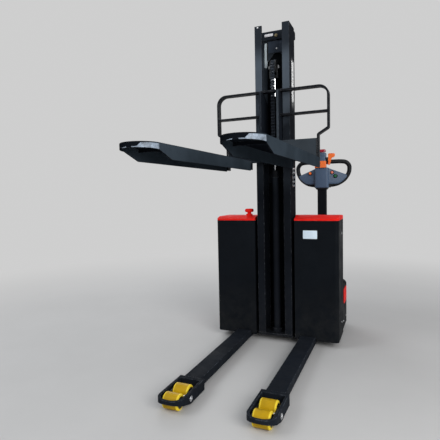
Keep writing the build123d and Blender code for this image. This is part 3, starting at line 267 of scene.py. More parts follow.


# Mast paint's pale edge chips: wear, and a painted highlight along the flange edges
MAST = dict(
    colour=(0.0042, 0.0052, 0.0078), rough=0.55, specular=0.12, mottle=(0.35, 2.2), grain=(0.08, 240),
    wear_and_highlights=(0.7, (0.16, 0.17, 0.19)), dust=0.06, edge=0.0045,
)
# Frame paint's pale edge chips: wear, and a painted highlight along the edges
FRAME = dict(
    colour=(0.0090, 0.0120, 0.0175), rough=0.70, specular=0.05, mottle=(0.25, 4.0), grain=(0.16, 420),
    wear_and_highlights=(0.80, (0.12, 0.14, 0.17)), dust=0.03, edge=0.006,
)
BUTTON = dict(mottle=(0.08, 20.0), grain=(0.10, 800))
LABEL = dict(grain=(0.05, 600), edge=0.0004)
WHEEL = dict(
    rough=0.58, mottle=(0.30, 16.0), grain=(0.30, 380), stretch=(4.0, 0.5, 0.5), dust=0.7, edge=0.003,
)
looks = {
    "mast_paint": look(
        "black mast paint", **dict(MAST, rough=0.90, specular=0.05, colour=(0.0052, 0.0066, 0.0098)),
        polish=dict(start=mast_top - 0.486, stop=mast_top - 0.186, near=mast_front + 0.055,
                    far=mast_front + 0.118, share=0.13),
        # Painted reflection: front faces paler between two heights, the lower end leaning across the mast
        painted_light=dict(facing=-Y, start=mast_top - 0.596, stop=mast_top - 0.156, lean=0.6,
                  colour=(0.078, 0.097, 0.122)),
    ),
    "body_paint": look(
        "matt black powder coat", (0.0040, 0.0056, 0.0082), 0.66, specular=0.07, mottle=(0.18, 3.0),
        grain=(0.28, 900), wear_and_highlights=(0.30, (0.05, 0.052, 0.06)), dust=0.08,
    ),
    "frame_paint": look("slate frame paint", **FRAME),
    "fork_paint": look(
        "fork paint", (0.0062, 0.0078, 0.0108), 0.80, specular=0.0, mottle=(0.25, 3.5), grain=(0.14, 300),
        stretch=(1, 0.25, 1), wear_and_highlights=(0.6, (0.10, 0.105, 0.115)), dust=0.05, edge=0.0035,
        # Painted light: the faces that look towards +X paler all over
        painted_light=dict(facing=X, colour=(0.034, 0.046, 0.059)),
    ),
    # Pale pink edge chips on the caps: a painted highlight along the edges, with some wear
    "red_plastic": look(
        "red moulded plastic", (0.830, 0.016, 0.011), 0.60, specular=0.08, mottle=(0.07, 9.0),
        grain=(0.10, 700), wear_and_highlights=(0.55, (0.95, 0.30, 0.23)), edge=0.0040,
    ),
    "chrome": look(
        "hard chrome", (0.78, 0.79, 0.81), 0.10, metallic=1.0, mottle=(0.05, 20.0), grain=(0.03, 160),
        stretch=(0.1, 0.1, 9.0), smear=0.5, edge=0.0008,
    ),
    "steel": look(
        "turned zinc steel", (0.42, 0.43, 0.45), 0.28, metallic=1.0, mottle=(0.18, 26.0),
        grain=(0.10, 320), stretch=(5.0, 0.6, 0.6), smear=0.35, edge=0.0009,
        wear_and_highlights=(0.3, (0.60, 0.60, 0.61)),
    ),
    # Bright edge chips on the chain plates: worn steel, painted bright as glints
    "chain_steel": look(
        "oiled chain steel", (0.034, 0.042, 0.056), 0.34, metallic=0.85, mottle=(0.35, 60.0),
        grain=(0.10, 900), smear=0.35, edge=0.0005, wear_and_highlights=(0.9, (0.62, 0.65, 0.70)),
    ),
    "roller_yellow": look(
        "yellow polyurethane", (0.500, 0.305, 0.004), 0.42, specular=0.12, mottle=(0.16, 14.0),
        grain=(0.16, 260), stretch=(6.0, 0.35, 0.35), smear=0.35, edge=0.006, dust=0.05,
        # Painted highlight: a brighter yellow towards both ends of each roller
        rims=dict(centre=roller_x, half=roller_end - roller_x, colour=(0.92, 0.68, 0.045)),
    ),
    "tyre": look("black polyurethane tyre", (0.020, 0.020, 0.021), **WHEEL),
    "grey_plastic": look(
        "blue-grey textured plastic", (0.064, 0.104, 0.172), 0.46, specular=0.34, mottle=(0.07, 12.0),
        grain=(0.30, 1500), edge=0.002, wear_and_highlights=(0.2, (0.14, 0.18, 0.23)),
    ),
    "black_rubber": look(
        "black rubber grip", (0.0060, 0.0078, 0.0105), 0.46, specular=0.14, mottle=(0.22, 18.0),
        grain=(0.26, 1100), sheen=0.02, edge=0.002,
    ),
    "black_plastic": look(
        "black textured plastic", (0.0075, 0.0080, 0.0092), 0.52, specular=0.30, mottle=(0.14, 10.0),
        grain=(0.32, 1300), edge=0.002, dust=0.08,
    ),
    "crimson_plastic": look("crimson plastic", (0.330, 0.007, 0.026), 0.32, edge=0.002, **BUTTON),
    "orange_plastic": look(
        "orange plastic", (0.950, 0.195, 0.040), 0.42, specular=0.35, mottle=(0.06, 18.0),
        grain=(0.20, 1200), edge=0.002,
    ),
    "green_plastic": look("green plastic", (0.010, 0.150, 0.050), 0.34, edge=0.0015, **BUTTON),
    "cast_iron": look(
        "painted casting", (0.018, 0.019, 0.021), 0.58, specular=0.3, mottle=(0.30, 14.0),
        grain=(0.65, 170), edge=0.003, wear_and_highlights=(0.4, (0.11, 0.11, 0.11)), dust=0.4,
    ),
    "aluminium": look(
        "extruded aluminium", (0.55, 0.56, 0.57), 0.36, metallic=1.0, mottle=(0.08, 20.0),
        grain=(0.12, 300), stretch=(8.0, 8.0, 0.15), edge=0.0008,
    ),
    "weld": look(
        "painted weld bead", (0.0095, 0.0115, 0.0150), 0.28, specular=0.4, mottle=(0.35, 60.0),
        grain=(0.25, 350), edge=0.0006,
    ),
    "dark_steel": look(
        "blackened steel", (0.030, 0.031, 0.033), 0.36, metallic=0.8, mottle=(0.25, 30.0),
        grain=(0.12, 500), edge=0.0008, wear_and_highlights=(0.5, (0.28, 0.28, 0.29)), dust=0.2,
    ),
    "drive_tyre": look(
        "drive tyre on an iron hub", (0.020, 0.020, 0.021), **WHEEL,
        hub=dict(centre=middle("drive_wheel"), radius=0.088, colour=(0.09, 0.09, 0.092)),
    ),
    "castor_tyre": look(
        "castor tyre on a nylon hub", (0.026, 0.026, 0.027), **WHEEL,
        hub=dict(centre=middle("castor_wheels"), radius=0.041, colour=(0.16, 0.16, 0.155)),
    ),
    "blank_plate": look("pale blank plate", (0.720, 0.860, 0.980), 0.34, mottle=(0.05, 24.0), **LABEL),
    "white_plate": look("white blank plate", (0.860, 0.860, 0.900), 0.30, mottle=(0.04, 24.0), **LABEL),
    "yellow_zinc": look(
        "yellow zinc plate", (0.18, 0.15, 0.09), 0.46, metallic=1.0, mottle=(0.28, 70.0),
        grain=(0.08, 500), edge=0.0006,
    ),
    # Roller track: partly burnished steel, painted pale blue-grey as a highlight
    "track_highlight_paint": look(
        "roller track with a painted highlight", (0.74, 0.85, 0.92), 0.34, mottle=(0.10, 18.0), grain=(0.10, 300),
        stretch=(6.0, 6.0, 0.2), edge=0.0003,
    ),
    # Painted reflection on the fork noses, pale and streaky
    "nose_reflection_paint": look(
        "fork paint with a painted nose reflection", (0.240, 0.290, 0.355), 0.40, specular=0.25, mottle=(0.58, 42.0),
        grain=(0.08, 240), stretch=(1, 1, 5), smear=0.4, edge=0.0003,
    ),
    "bar_paint": look("black backrest paint", **MAST),
    "carriage_paint": look(
        "slate carriage paint", **FRAME,
        # Painted light: front faces paler between two heights, reaching lower towards +X, where the right
        # post is lit
        painted_light=dict(facing=-Y, start=fork_top + 0.284, stop=fork_top + 0.524, lean=-4.0,
                  colour=(0.044, 0.055, 0.067)),
    ),
    # Painted reflection: a blue-grey cover, lighter than the mast
    "cover_reflection_paint": look(
        "blue-grey cover with a painted reflection", (0.050, 0.067, 0.098), 0.50, specular=0.15, mottle=(0.20, 9.0),
        grain=(0.08, 300), edge=0.0006,
    ),
    "coral_plastic": look("coral plastic", (0.760, 0.220, 0.150), 0.36, edge=0.0015, **BUTTON),
    "gauge_face": look(
        "gauge face", (0.72, 0.73, 0.72), 0.5, mottle=(0.03, 30.0), grain=(0.04, 900), edge=0.0003,
    ),
}
node_looks = {
    "tiller_arm": "body_paint",
    "backrest": "bar_paint",
    "carriage": "carriage_paint",
    "cylinder_gland": "bar_paint",
    "emergency_switch": "red_plastic",
    "lift_button": "coral_plastic",
    "drive_wheel": "drive_tyre",
    "castor_wheels": "castor_tyre",
}
BLACKENED = (
    "bogie_left", "bogie_right", "castor_fork", "front_chain_anchor", "rear_chain_anchor", "sheave",
    "sheave_yoke",
)
node_looks.update(dict.fromkeys(BLACKENED, "dark_steel"))
for row in frame["record"]["subparts"]:
    mesh = nodes[row["node"]].data
    mesh.materials.clear()
    mesh.materials.append(looks[node_looks.get(row["node"], row["material_slot"])])

# Mesh helpers: each adds closed shells to a bmesh, in metres in the shared frame


def turned(axis):
    """The rotation that takes +Z to the axis."""
    return Vector(axis).to_track_quat("Z", "Y").to_matrix()


def skin(bm, rings, wrap=False):
    """Quads between rings of points, closed at both ends or wrapped round into a loop."""
    rows = [[bm.verts.new(p) for p in ring] for ring in rings]
    following = rows[1:] + rows[:1] if wrap else rows[1:]
    count = len(rows[0])
    for near, far in zip(rows, following):
        for i in range(count):
            j = (i + 1) % count
            bm.faces.new((near[i], near[j], far[j], far[i]))
    if not wrap:
        bm.faces.new(rows[0][::-1])
        bm.faces.new(rows[-1])


def circle(steps):
    return [2 * math.pi * i / steps for i in range(steps)]


def lathe(bm, profile, centre, axis, steps, wrap=False):
    """A profile of (radius, height) turned round the axis."""
    rot, centre = turned(axis), Vector(centre)
    rings = []
    for r, h in profile:
        rings.append([centre + rot @ Vector((r * math.cos(t), r * math.sin(t), h)) for t in circle(steps)])
    skin(bm, rings, wrap)


def plate(bm, outline, origin, u, v, depth, bevel=0.0, segments=2):
    """An outline in the plane of u and v, thickened along u x v, with its rims bevelled."""
    origin, u, v = Vector(origin), Vector(u), Vector(v)
    rise = u.cross(v) * depth
    flat = [origin + u * a + v * b for a, b in outline]
    under = [bm.verts.new(p) for p in flat]
    over = [bm.verts.new(p + rise) for p in flat]
    bm.faces.new(under[::-1])
    bm.faces.new(over)
    rims = []
    for i in range(len(flat)):
        j = (i + 1) % len(flat)
        bm.faces.new((under[i], under[j], over[j], over[i]))
        rims += [bm.edges.get((under[i], under[j])), bm.edges.get((over[i], over[j]))]
    if bevel:
        bmesh.ops.bevel(bm, geom=rims, offset=bevel, segments=segments, affect="EDGES", profile=0.6)


def block(bm, corner, far_corner, bevel):
    """A box between two corners with every edge rounded."""
    corner, size = Vector(corner), Vector(far_corner) - Vector(corner)
    made = bmesh.ops.create_cube(bm, size=1.0)["verts"]
    for vert in made:
        vert.co = corner + Vector((size[i] * (vert.co[i] + 0.5) for i in range(3)))
    edges = list(dict.fromkeys(edge for vert in made for edge in vert.link_edges))
    bmesh.ops.bevel(bm, geom=edges, offset=bevel, segments=2, affect="EDGES", profile=0.6)


def rounded(points, radius, steps=5):
    """A polygon with its corners rounded; radius is one value or one for each corner."""
    out, count = [], len(points)
    radii = radius if isinstance(radius, (list, tuple)) else [radius] * count
    for i, r in enumerate(radii):
        here = Vector(points[i])
        back = (Vector(points[i - 1]) - here).normalized()
        on = (Vector(points[(i + 1) % count]) - here).normalized()
        half = math.acos(max(-1.0, min(1.0, back.dot(on)))) / 2
        centre = here + (back + on).normalized() * (r / math.sin(half))
        start = here + back * (r / math.tan(half)) - centre
        stop = here + on * (r / math.tan(half)) - centre
        turn = math.atan2(start.x * stop.y - start.y * stop.x, start.dot(stop))
        for k in range(steps + 1):
            c, s = math.cos(turn * k / steps), math.sin(turn * k / steps)
            out.append((centre.x + start.x * c - start.y * s, centre.y + start.x * s + start.y * c))
    return out


def rectangle(width, height, radius, steps=5):
    w, h = width / 2, height / 2
    return rounded([(-w, -h), (w, -h), (w, h), (-w, h)], radius, steps)


def spline(points, steps):
    """A smooth curve through the points."""
    points = [Vector(p) for p in points]
    ends = [2 * points[0] - points[1]] + points + [2 * points[-1] - points[-2]]
    out = []
    for a, b, c, d in zip(ends, ends[1:], ends[2:], ends[3:]):
        for k in range(steps):
            t = k / steps
            pull = (c - a) * t + (2 * a - 5 * b + 4 * c - d) * t ** 2 + (3 * b - a - 3 * c + d) * t ** 3
            out.append(b + pull / 2)
    return out + [points[-1]]


def tube(bm, path, radii, steps):
    """A round section along a path, with one radius or one for each point."""
    path = [Vector(p) for p in path]
    radii = radii if isinstance(radii, list) else [radii] * len(path)
    side = (path[1] - path[0]).orthogonal()
    rings = []
    for i, p in enumerate(path):
        along = (path[min(i + 1, len(path) - 1)] - path[max(i - 1, 0)]).normalized()
        side = (side - along * side.dot(along)).normalized()
        other = along.cross(side)
        rings.append([p + (side * math.cos(t) + other * math.sin(t)) * radii[i] for t in circle(steps)])
    skin(bm, rings)


def bead(bm, start, end, radius):
    """A weld bead: a tube with overlapping ripples, half sunk in the joint."""
    start, end, ripple = Vector(start), Vector(end), 0.0046
    length = (end - start).length
    count = max(8, int(length / ripple * 4))
    path, radii = [], []
    for i in range(count + 1):
        s = i / count
        wave = 0.80 + 0.20 * abs(math.sin(math.pi * s * length / ripple))
        taper = min(1.0, 0.35 + 14 * min(s, 1 - s))
        path.append(start.lerp(end, s))
        radii.append(radius * wave * taper * chance.uniform(0.95, 1.05))
    tube(bm, path, radii, 9)


def bead_up(bm, x, y, start, stop, radius):
    bead(bm, (x, y, start), (x, y, stop), radius)


def bead_across(bm, start, stop, y, z, radius):
    bead(bm, (start, y, z), (stop, y, z), radius)


def on_ends(bm, node, profile, steps, wrap=True, axle=None):
    """A profile turned on both end faces of a node, round its own axle along X or another one."""
    axle = axle or middle(node)
    for face, x in ((-1, low(node).x), (1, high(node).x)):
        lathe(bm, profile, (x, axle.y, axle.z), X * face, steps, wrap)


def button_head(bm, centre, axis, size):
    """A button-head screw with a round socket."""
    profile = [(1, 0), (1, 0.12), (0.93, 0.34), (0.78, 0.52), (0.52, 0.62), (0.46, 0.62), (0.43, 0.58),
               (0.42, 0.25), (0.05, 0.22)]
    lathe(bm, [(r * size / 2, h * size / 2) for r, h in profile], centre, axis, 24)


def hex_head(bm, centre, axis, across, height):
    """A hexagon bolt head on a washer."""
    washer = across * 0.72
    lathe(bm, [(washer, 0), (washer, 0.0012), (washer * 0.97, 0.0016)], centre, axis, 28)
    corner = across / math.sqrt(3)
    head = [(corner, 0.0015), (corner, height * 0.82), (corner * 0.90, height), (corner * 0.2, height * 1.02)]
    lathe(bm, head, centre, axis, 6)


def carved(bm, tool):
    """The bmesh with the shells of another one cut out of it; both are used up."""
    pair = []
    for shape in (bm, tool):
        bmesh.ops.recalc_face_normals(shape, faces=shape.faces[:])
        mesh = bpy.data.meshes.new("carving")
        shape.to_mesh(mesh)
        shape.free()
        pair.append(bpy.data.objects.new("carving", mesh))
        scene.collection.objects.link(pair[-1])
    cut = pair[0].modifiers.new("carving", "BOOLEAN")
    cut.operation = "DIFFERENCE"
    cut.object = pair[1]
    result = bmesh.new()
    result.from_object(pair[0], bpy.context.evaluated_depsgraph_get())
    for mesh in [obj.data for obj in pair]:
        bpy.data.meshes.remove(mesh)
    return result


def piece(name, bm, slot, body=None, finish=None):
    """The bmesh as an object on a body, with the slot's look or another finish."""
    bmesh.ops.recalc_face_normals(bm, faces=bm.faces[:])
    mesh = bpy.data.meshes.new(name)
    bm.to_mesh(mesh)
    bm.free()
    mesh.polygons.foreach_set("use_smooth", [True] * len(mesh.polygons))
    mesh.set_sharp_from_angle(angle=SHARP_ANGLE)
    mesh.materials.append(looks[finish or slot])
    obj = bpy.data.objects.new(name, mesh)
    scene.collection.objects.link(obj)
    if body:
        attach(obj, body)
    return obj


# Leaf chain: plates that alternate from pitch to pitch, on riveted pins

sheave = middle("sheave")
front_y, rear_y = middle("chain_front").y, middle("chain_rear").y
front_end, rear_end = low("chain_front").z, low("chain_rear").z
chain_r = rear_y - sheave.y
chain_half = high("chain_front").x
link_pitch = 0.0188
leaves = 8
leaf_t = 0.0027
leaf_step = (2 * chain_half - leaf_t) / (leaves - 1)


def leaf(bm, a, b, x):
    """One chain plate between two pin centres (y, z), with round ends and a waist."""
    end, waist = 0.0071, 0.0034
    a, b = Vector((x - leaf_t / 2, *a)), Vector((x - leaf_t / 2, *b))
    along = (b - a).normalized()
    length = (b - a).length
    arc = [math.radians(d) for d in range(-105, 106, 30)]
    outline = [(length + end * math.cos(t), end * math.sin(t)) for t in arc] + [(length / 2, waist)]
    outline += [(-end * math.cos(t), -end * math.sin(t)) for t in arc] + [(length / 2, -waist)]
    plate(bm, outline, a, along, along.cross(X), -leaf_t)


def chain_run(bm, pins, first):
    """Plates between successive pins, and the pins; first is the number of the run's first pitch."""
    for i, (a, b) in enumerate(zip(pins, pins[1:])):
        for k in range((first + i) % 2, leaves, 2):
            leaf(bm, a, b, (k - (leaves - 1) / 2) * leaf_step)
    for y, z in pins:
        rivet = [(0.0016, 0.0003), (0.0026, 0), (0.0026, -2 * chain_half), (0.0016, -2 * chain_half - 0.0003)]
        lathe(bm, rivet, (chain_half, y, z), X, 10)


def straight(y, start, stop):
    """Pins on a straight run, as near the chain's pitch as fits."""
    count = round(abs(stop - start) / link_pitch)
    return [(y, start + (stop - start) * i / count) for i in range(count + 1)]


front_pins = straight(front_y, front_end, sheave.z)
rear_pins = straight(rear_y, sheave.z, rear_end)
bend_pitches = 7
bend_angles = [math.pi * i / bend_pitches for i in range(bend_pitches + 1)]
bend_pins = [(sheave.y - chain_r * math.cos(t), sheave.z + chain_r * math.sin(t)) for t in bend_angles]
bm = bmesh.new()
chain_run(bm, front_pins, 0)
links = piece("chain_front_links", bm, "chain_steel")
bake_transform(links)
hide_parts("chain_front")
bm = bmesh.new()
chain_run(bm, bend_pins, len(front_pins) - 1)
links = piece("chain_bend_links", bm, "chain_steel", "rod")
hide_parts("chain_bend")
bm = bmesh.new()
chain_run(bm, rear_pins, len(front_pins) + len(bend_pins) - 2)
links = piece("chain_rear_links", bm, "chain_steel")
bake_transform(links)
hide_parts("chain_rear")

# Sheave: turned flange faces, and grease nipples on its pin

bm = bmesh.new()
ring = [(0.0240, 0.0), (0.0455, 0.0), (0.0460, 0.0004), (0.0440, 0.0008), (0.0250, 0.0008)]
on_ends(bm, "sheave", ring, 48)
piece("sheave_faces", bm, "steel", "sheave", "dark_steel")
bm = bmesh.new()
nipple = [(0.0035, 0), (0.0035, 0.0012), (0.0020, 0.0016), (0.0020, 0.0030), (0.0026, 0.0040),
          (0.0010, 0.0048)]
on_ends(bm, "sheave_pin", nipple, 20, False, sheave)
piece("sheave_pin_ends", bm, "steel", "rod")

# Carriage: weld beads at the plate, the forks, the posts and the backrest

trim = 0.002  # what a bead leaves free at its ends
bar_front = low("backrest").y
bar_out, bar_back, bar_top = high("backrest")
# Plates and bars that no node's box gives have the sizes of the part's source, here and further on
bar_t = 0.012
plate_end, plate_top = high("carriage").x, fork_top + 0.114
post_in, post_out = 0.048, 0.061
mid_bar = fork_top + 0.270
bm = bmesh.new()
for s in SIDES:
    bead_up(bm, s * plate_end, fork_back, fork_top + trim, plate_top - trim, 0.0042)
    bead_across(bm, s * (fork_in + 0.005), s * (fork_out - 0.005), fork_back, fork_top, 0.0042)
    bead_up(bm, s * fork_in, fork_back, fork_top - 0.014, fork_top - trim, 0.0034)
    for x in (post_in, post_out):
        bead_up(bm, s * x, fork_back, fork_top - 0.011, plate_top - trim, 0.0034)
    for z in (mid_bar - bar_t / 2, mid_bar + bar_t / 2):
        for x in (post_out, bar_out - bar_t):
            bead(bm, (s * x, bar_front + 0.003, z), (s * x, bar_back - trim, z), 0.0030)
    for y in (bar_front + 0.004, bar_back - 0.003):
        bead_across(bm, s * post_in, s * post_out, y, bar_top - bar_t, 0.0030)
piece("carriage_welds", bm, "frame_paint", "carriage", "weld")

# Fork noses: a pale painted reflection round each lip, thin at the tip and as high as the lip towards +X

fork_r, fork_x = (fork_out - fork_in) / 2, (fork_in + fork_out) / 2
lip_tip_h, lip_root_h, lip_edge, lip_gap = 0.024, 0.028, 0.0055, 0.001
reflection_t, reflection_sunk = 0.0004, 0.002
reflection_thin = 0.22  # the share of the lip's height where the painted reflection is thin
reflection_start, reflection_lead, reflection_wide, reflection_taper = -26, 3, 22, 10  # degrees round the nose towards +X
reflection_runs = ((reflection_start, -8), (8, 88))  # the tip itself stays bare
bm = bmesh.new()
for s, (start, stop) in itertools.product(SIDES, reflection_runs):
    rings = []
    for degrees in range(start, stop + 1, 2):
        t = math.radians(degrees)
        lower = fork_top - lip_tip_h - (lip_root_h - lip_tip_h) * (1 - math.cos(t)) + lip_gap
        thin = reflection_thin * min(1.0, (degrees - reflection_start + reflection_lead) / (2 * reflection_taper))
        grown = thin + (1 - reflection_thin) * min(1.0, max(0.0, (degrees - reflection_wide) / reflection_taper))
        upper = lower + (fork_top - lip_edge - lower) * grown
        ring = []
        for proud, z in ((-reflection_sunk, lower), (reflection_t, lower), (reflection_t, upper), (-reflection_sunk, upper)):
            r = fork_r + proud
            ring.append((s * fork_x + r * math.sin(t), fork_tip + fork_r - r * math.cos(t), z))
        rings.append(ring)
    skin(bm, rings)
piece("fork_nose_reflections", bm, "fork_paint", "carriage", "nose_reflection_paint")

# Mast: weld beads, roller tracks painted pale as a highlight, a cover painted as a reflection, bolts and a
# small plate on the top bar

flange_in, flange_t, web_t = 0.065, 0.012, 0.008
bar_face, bar_low = mast_back - 2 * flange_t, mast_top - 0.056
plate_face, arch_top = mast_back - flange_t, mast_top - 0.138
bracket_low, bracket_high = rear_end - 0.0675, rear_end - 0.0075
foot_top = mast_foot + 0.013
bm = bmesh.new()
for s in SIDES:
    bead_up(bm, s * (mast_out - web_t), bar_face, bar_low + 0.003, mast_top - 0.004, 0.0036)
    bead_up(bm, s * flange_in, plate_face, arch_top - 0.044, bar_low - 0.004, 0.0032)
    bead_up(bm, s * flange_in, plate_face, bracket_low + trim, bracket_high - trim, 0.0032)
    bead_up(bm, s * (mast_out - 0.005), mast_back, mast_top - 0.063, mast_top - 0.016, 0.0030)
    bead_across(bm, s * flange_in, s * (mast_out - trim), mast_front, foot_top, 0.0034)
piece("mast_welds", bm, "mast_paint", "chassis", "weld")

track_low, track_high, track_w, track_gap = mast_top - 0.225, bar_low - 0.012, 0.018, 0.0005
track_x, track_z = flange_in + track_gap + track_w / 2, (track_low + track_high) / 2
# Roller tracks: partly bare steel, painted pale as the highlight they catch
bm = bmesh.new()
for s in SIDES:
    strip = rectangle(track_w, track_high - track_low, 0.006)
    plate(bm, strip, (s * track_x, plate_face, track_z), X, Z, 0.0003)
piece("roller_tracks_and_highlights", bm, "steel", "chassis", "track_highlight_paint")

# A thin cover on the top plate, painted blue-grey as the reflection the plate catches
cover_t, cover_side, cover_end = 0.0008, 0.007, 0.004
bm = bmesh.new()
cover = rectangle(2 * (flange_in - cover_side), bar_low - arch_top - 2 * cover_end, 0.004)
plate(bm, cover, (0, plate_face, (bar_low + arch_top) / 2), X, Z, cover_t, 0.0003)
piece("mast_top_cover_reflection", bm, "mast_paint", "chassis", "cover_reflection_paint")

bolt_x = -0.002
guard_low, guard_high, guard_screw_x = low("mast_guard").z, high("mast_guard").z, mast_out - 0.016
guard_screws, guard_margin = 5, 0.035
guard_step = (guard_high - guard_low - 2 * guard_margin) / (guard_screws - 1)
bm = bmesh.new()
hex_head(bm, (bolt_x, plate_face - cover_t, mast_top - 0.110), -Y, across=0.008, height=0.004)
for s in SIDES:
    for i in range(guard_screws):
        z = guard_low + guard_margin + guard_step * i
        button_head(bm, (s * guard_screw_x, mast_back + 0.003, z), Y, size=0.011)
piece("mast_fasteners", bm, "steel", "chassis")

bracket_bolts, bracket_step, bracket_y = 5, 0.026, mast_front + 0.070
bm = bmesh.new()
for s in SIDES:
    for i in range(bracket_bolts):
        z = (bracket_low + bracket_high) / 2 + (i - (bracket_bolts - 1) / 2) * bracket_step
        hex_head(bm, (s * mast_out, bracket_y, z), X * s, across=0.015, height=0.010)
piece("bracket_bolts", bm, "chrome", "chassis")

bm = bmesh.new()
button_head(bm, (0.021 - mast_out, mast_front, mast_top - 0.010), -Y, size=0.011)
piece("mast_top_screw", bm, "chrome", "chassis")
bm = bmesh.new()
label = rectangle(0.057, 0.0165, 0.003)
plate(bm, label, (-0.050, bar_face, mast_top - 0.0235), X, Z, depth=0.0012, bevel=0.0004)
piece("mast_blank_plate", bm, "aluminium", "chassis", "white_plate")
bm = bmesh.new()
hex_head(bm, (bolt_x, bar_face, mast_top - 0.030), -Y, across=0.015, height=0.006)
piece("top_bar_bolt", bm, "steel", "chassis", "yellow_zinc")

# Front panels and caps: a blank plate, quarter-turn locks and screws

panel_in, panel_front, panel_low = low("front_panel_right")
panel_out, panel_back, panel_top = high("front_panel_right")
cap_top = high("cap_right").z
bm = bmesh.new()
label = rectangle(0.087, 0.052, 0.003)
plate(bm, label, (panel_in + 0.0985, panel_front, panel_top - 0.086), X, Z, depth=0.0012, bevel=0.0005)
piece("panel_blank_plate", bm, "aluminium", "chassis", "blank_plate")
lock = [(0.0085, 0), (0.0085, 0.0008), (0.0068, 0.0019), (0.0010, 0.0021)]
lock_bar = rectangle(0.010, 0.0018, 0.0006, 3)
lock_y = panel_back - 0.073
bm = bmesh.new()
for s in SIDES:
    for z in (panel_top - 0.087, panel_low + 0.090):
        lathe(bm, lock, (s * panel_out, lock_y, z), X * s, 24)
        plate(bm, lock_bar, (s * (panel_out + 0.0018), lock_y, z), Y * s, Z, depth=0.0007, bevel=0.0002)
    for x in (panel_in + 0.030, panel_out - 0.055):
        button_head(bm, (s * x, panel_back - 0.028, cap_top), Z, size=0.010)
piece("panel_fasteners", bm, "steel", "chassis")

# Nose frames: weld beads behind the wells, circlips and domed ends on the bogie pins

leg = middle("leg_right")
nose_back = low("leg_right").y + 0.257
nose_half = high("leg_right").x - leg.x
pin = middle("bogie_pins")
pin_proud = high("bogie_pins").x - high("leg_right").x
beam_half, beam_top, beam_low = 0.046, 0.062, 0.020
bm = bmesh.new()
for s in SIDES:
    left, right = s * leg.x - beam_half, s * leg.x + beam_half
    bead_across(bm, left, right, nose_back, beam_top, 0.0042)
    for x in (left, right):
        bead_up(bm, x, nose_back, beam_low + 0.004, beam_top - trim, 0.0040)
piece("leg_welds", bm, "frame_paint", "chassis", "weld")
circlip = [(0.0092, 0.0003), (0.0130, 0.0003), (0.0130, 0.0013), (0.0092, 0.0013)]
dome = [(0.0086, 0), (0.0078, 0.0009), (0.0055, 0.0017), (0.0012, 0.0020)]
bm = bmesh.new()
for s in SIDES:
    for end in (-1, 1):
        face = Vector((s * leg.x + end * nose_half, pin.y, pin.z))
        lathe(bm, circlip, face, X * end, 28, True)
        lathe(bm, dome, face + X * end * pin_proud, X * end, 24)
piece("bogie_pin_ends", bm, "chrome", "chassis")

# Load rollers: dark cores with a bearing seal at each end

core = [(0.0103, -0.0004), (0.0262, -0.0004), (0.0268, 0.0003), (0.0250, 0.0006), (0.0190, 0.0006),
        (0.0180, 0.0001), (0.0160, 0.0001), (0.0150, 0.0008), (0.0103, 0.0008)]
for side, end in itertools.product(("left", "right"), ("front", "rear")):
    roller = f"load_roller_{side}_{end}"
    bm = bmesh.new()
    on_ends(bm, roller, core, 32)
    piece(f"load_roller_core_{side}_{end}", bm, "steel", roller, "dark_steel")

# Tiller head: a moulded shell with swept wings, placed from the arm's axis and the head's lower edge

arm = middle("tiller_arm")
tower_front, head_low = low("tiller_head").yz
grip_back = middle("tiller_loop").y - arm.y
block_h, tower_h, tower_depth = 0.142, 0.248, 0.070
wing_root, wing_tip, wing_steps = 0.040, 0.167, 18
wing_top, wing_bottom, wing_half = 0.139, 0.026, 0.013
wing_front = arm.y - wing_half
wing_slope, slope_start, wing_curve, curve_start = 0.40, 0.046, 9.0, 0.092  # top and lower edge
wing_thinning, rise_power, depth_power = 0.03, 0.35, 0.45
SWEEP = 0.22  # how far the wings and the grip go back for each unit outwards
PUSH_BUTTONS = ("horn_button", "lift_button", "lower_button")


def swept(u, h, forward=0.0, side=1):
    """A point of the head: u outwards, h above its lower edge, swept back with u."""
    return Vector((arm.x + side * u, arm.y + SWEEP * max(0.0, u - wing_root) - forward, head_low + h))


def tiller_box(bm, sections, v):
    """A moulded body through rounded rectangles of (width, depth, corner, height)."""
    rings = []
    for width, depth, corner, h in sections:
        rings.append([(arm.x + a, arm.y + v + b, head_low + h) for a, b in rectangle(width, depth, corner)])
    skin(bm, rings)


def squared(value, power):
    """A sine or cosine pulled towards its ends, which squares a round section."""
    return math.copysign(abs(value) ** power, value)


bm = bmesh.new()
for s in SIDES:
    rings = []
    for k in range(wing_steps + 1):
        u = wing_root + (wing_tip - wing_root) * k / wing_steps
        top = wing_top - wing_slope * max(0.0, u - slope_start)
        bottom = wing_bottom + wing_curve * max(0.0, u - curve_start) ** 2
        mid, half = (top + bottom) / 2, (top - bottom) / 2
        thick = wing_half - wing_thinning * (u - wing_root)
        ring = []
        for t in circle(28):
            rise = half * squared(math.cos(t), rise_power)
            ring.append(swept(u, mid + rise, thick * squared(math.sin(t), depth_power), s))
        rings.append(ring)
    skin(bm, rings)
pocket_r, pocket_room = 0.0112, 0.006
pockets = bmesh.new()
for button in PUSH_BUTTONS:
    spot, outer = middle(button), low(button).y
    length = high(button).y + pocket_room - outer
    lathe(pockets, [(pocket_r, 0), (pocket_r, length)], (spot.x, outer, spot.z), Y, 32)
bm = carved(bm, pockets)
tiller_box(bm, [
    (0.086, 0.062, 0.012, 0.0), (0.093, 0.069, 0.013, 0.003), (0.096, 0.072, 0.014, 0.010),
    (0.096, 0.072, 0.014, block_h - 0.007), (0.094, 0.070, 0.013, block_h - 0.002),
    (0.088, 0.064, 0.012, block_h),
], 0.0)
tiller_box(bm, [
    (0.058, tower_depth, 0.009, block_h - 0.001), (0.058, tower_depth, 0.009, tower_h - 0.005),
    (0.055, tower_depth - 0.003, 0.008, tower_h - 0.001), (0.049, tower_depth - 0.009, 0.007, tower_h),
], tower_front + tower_depth / 2 - arm.y)
shell = piece("tiller_shell", bm, "grey_plastic", "tiller")
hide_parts("tiller_head")

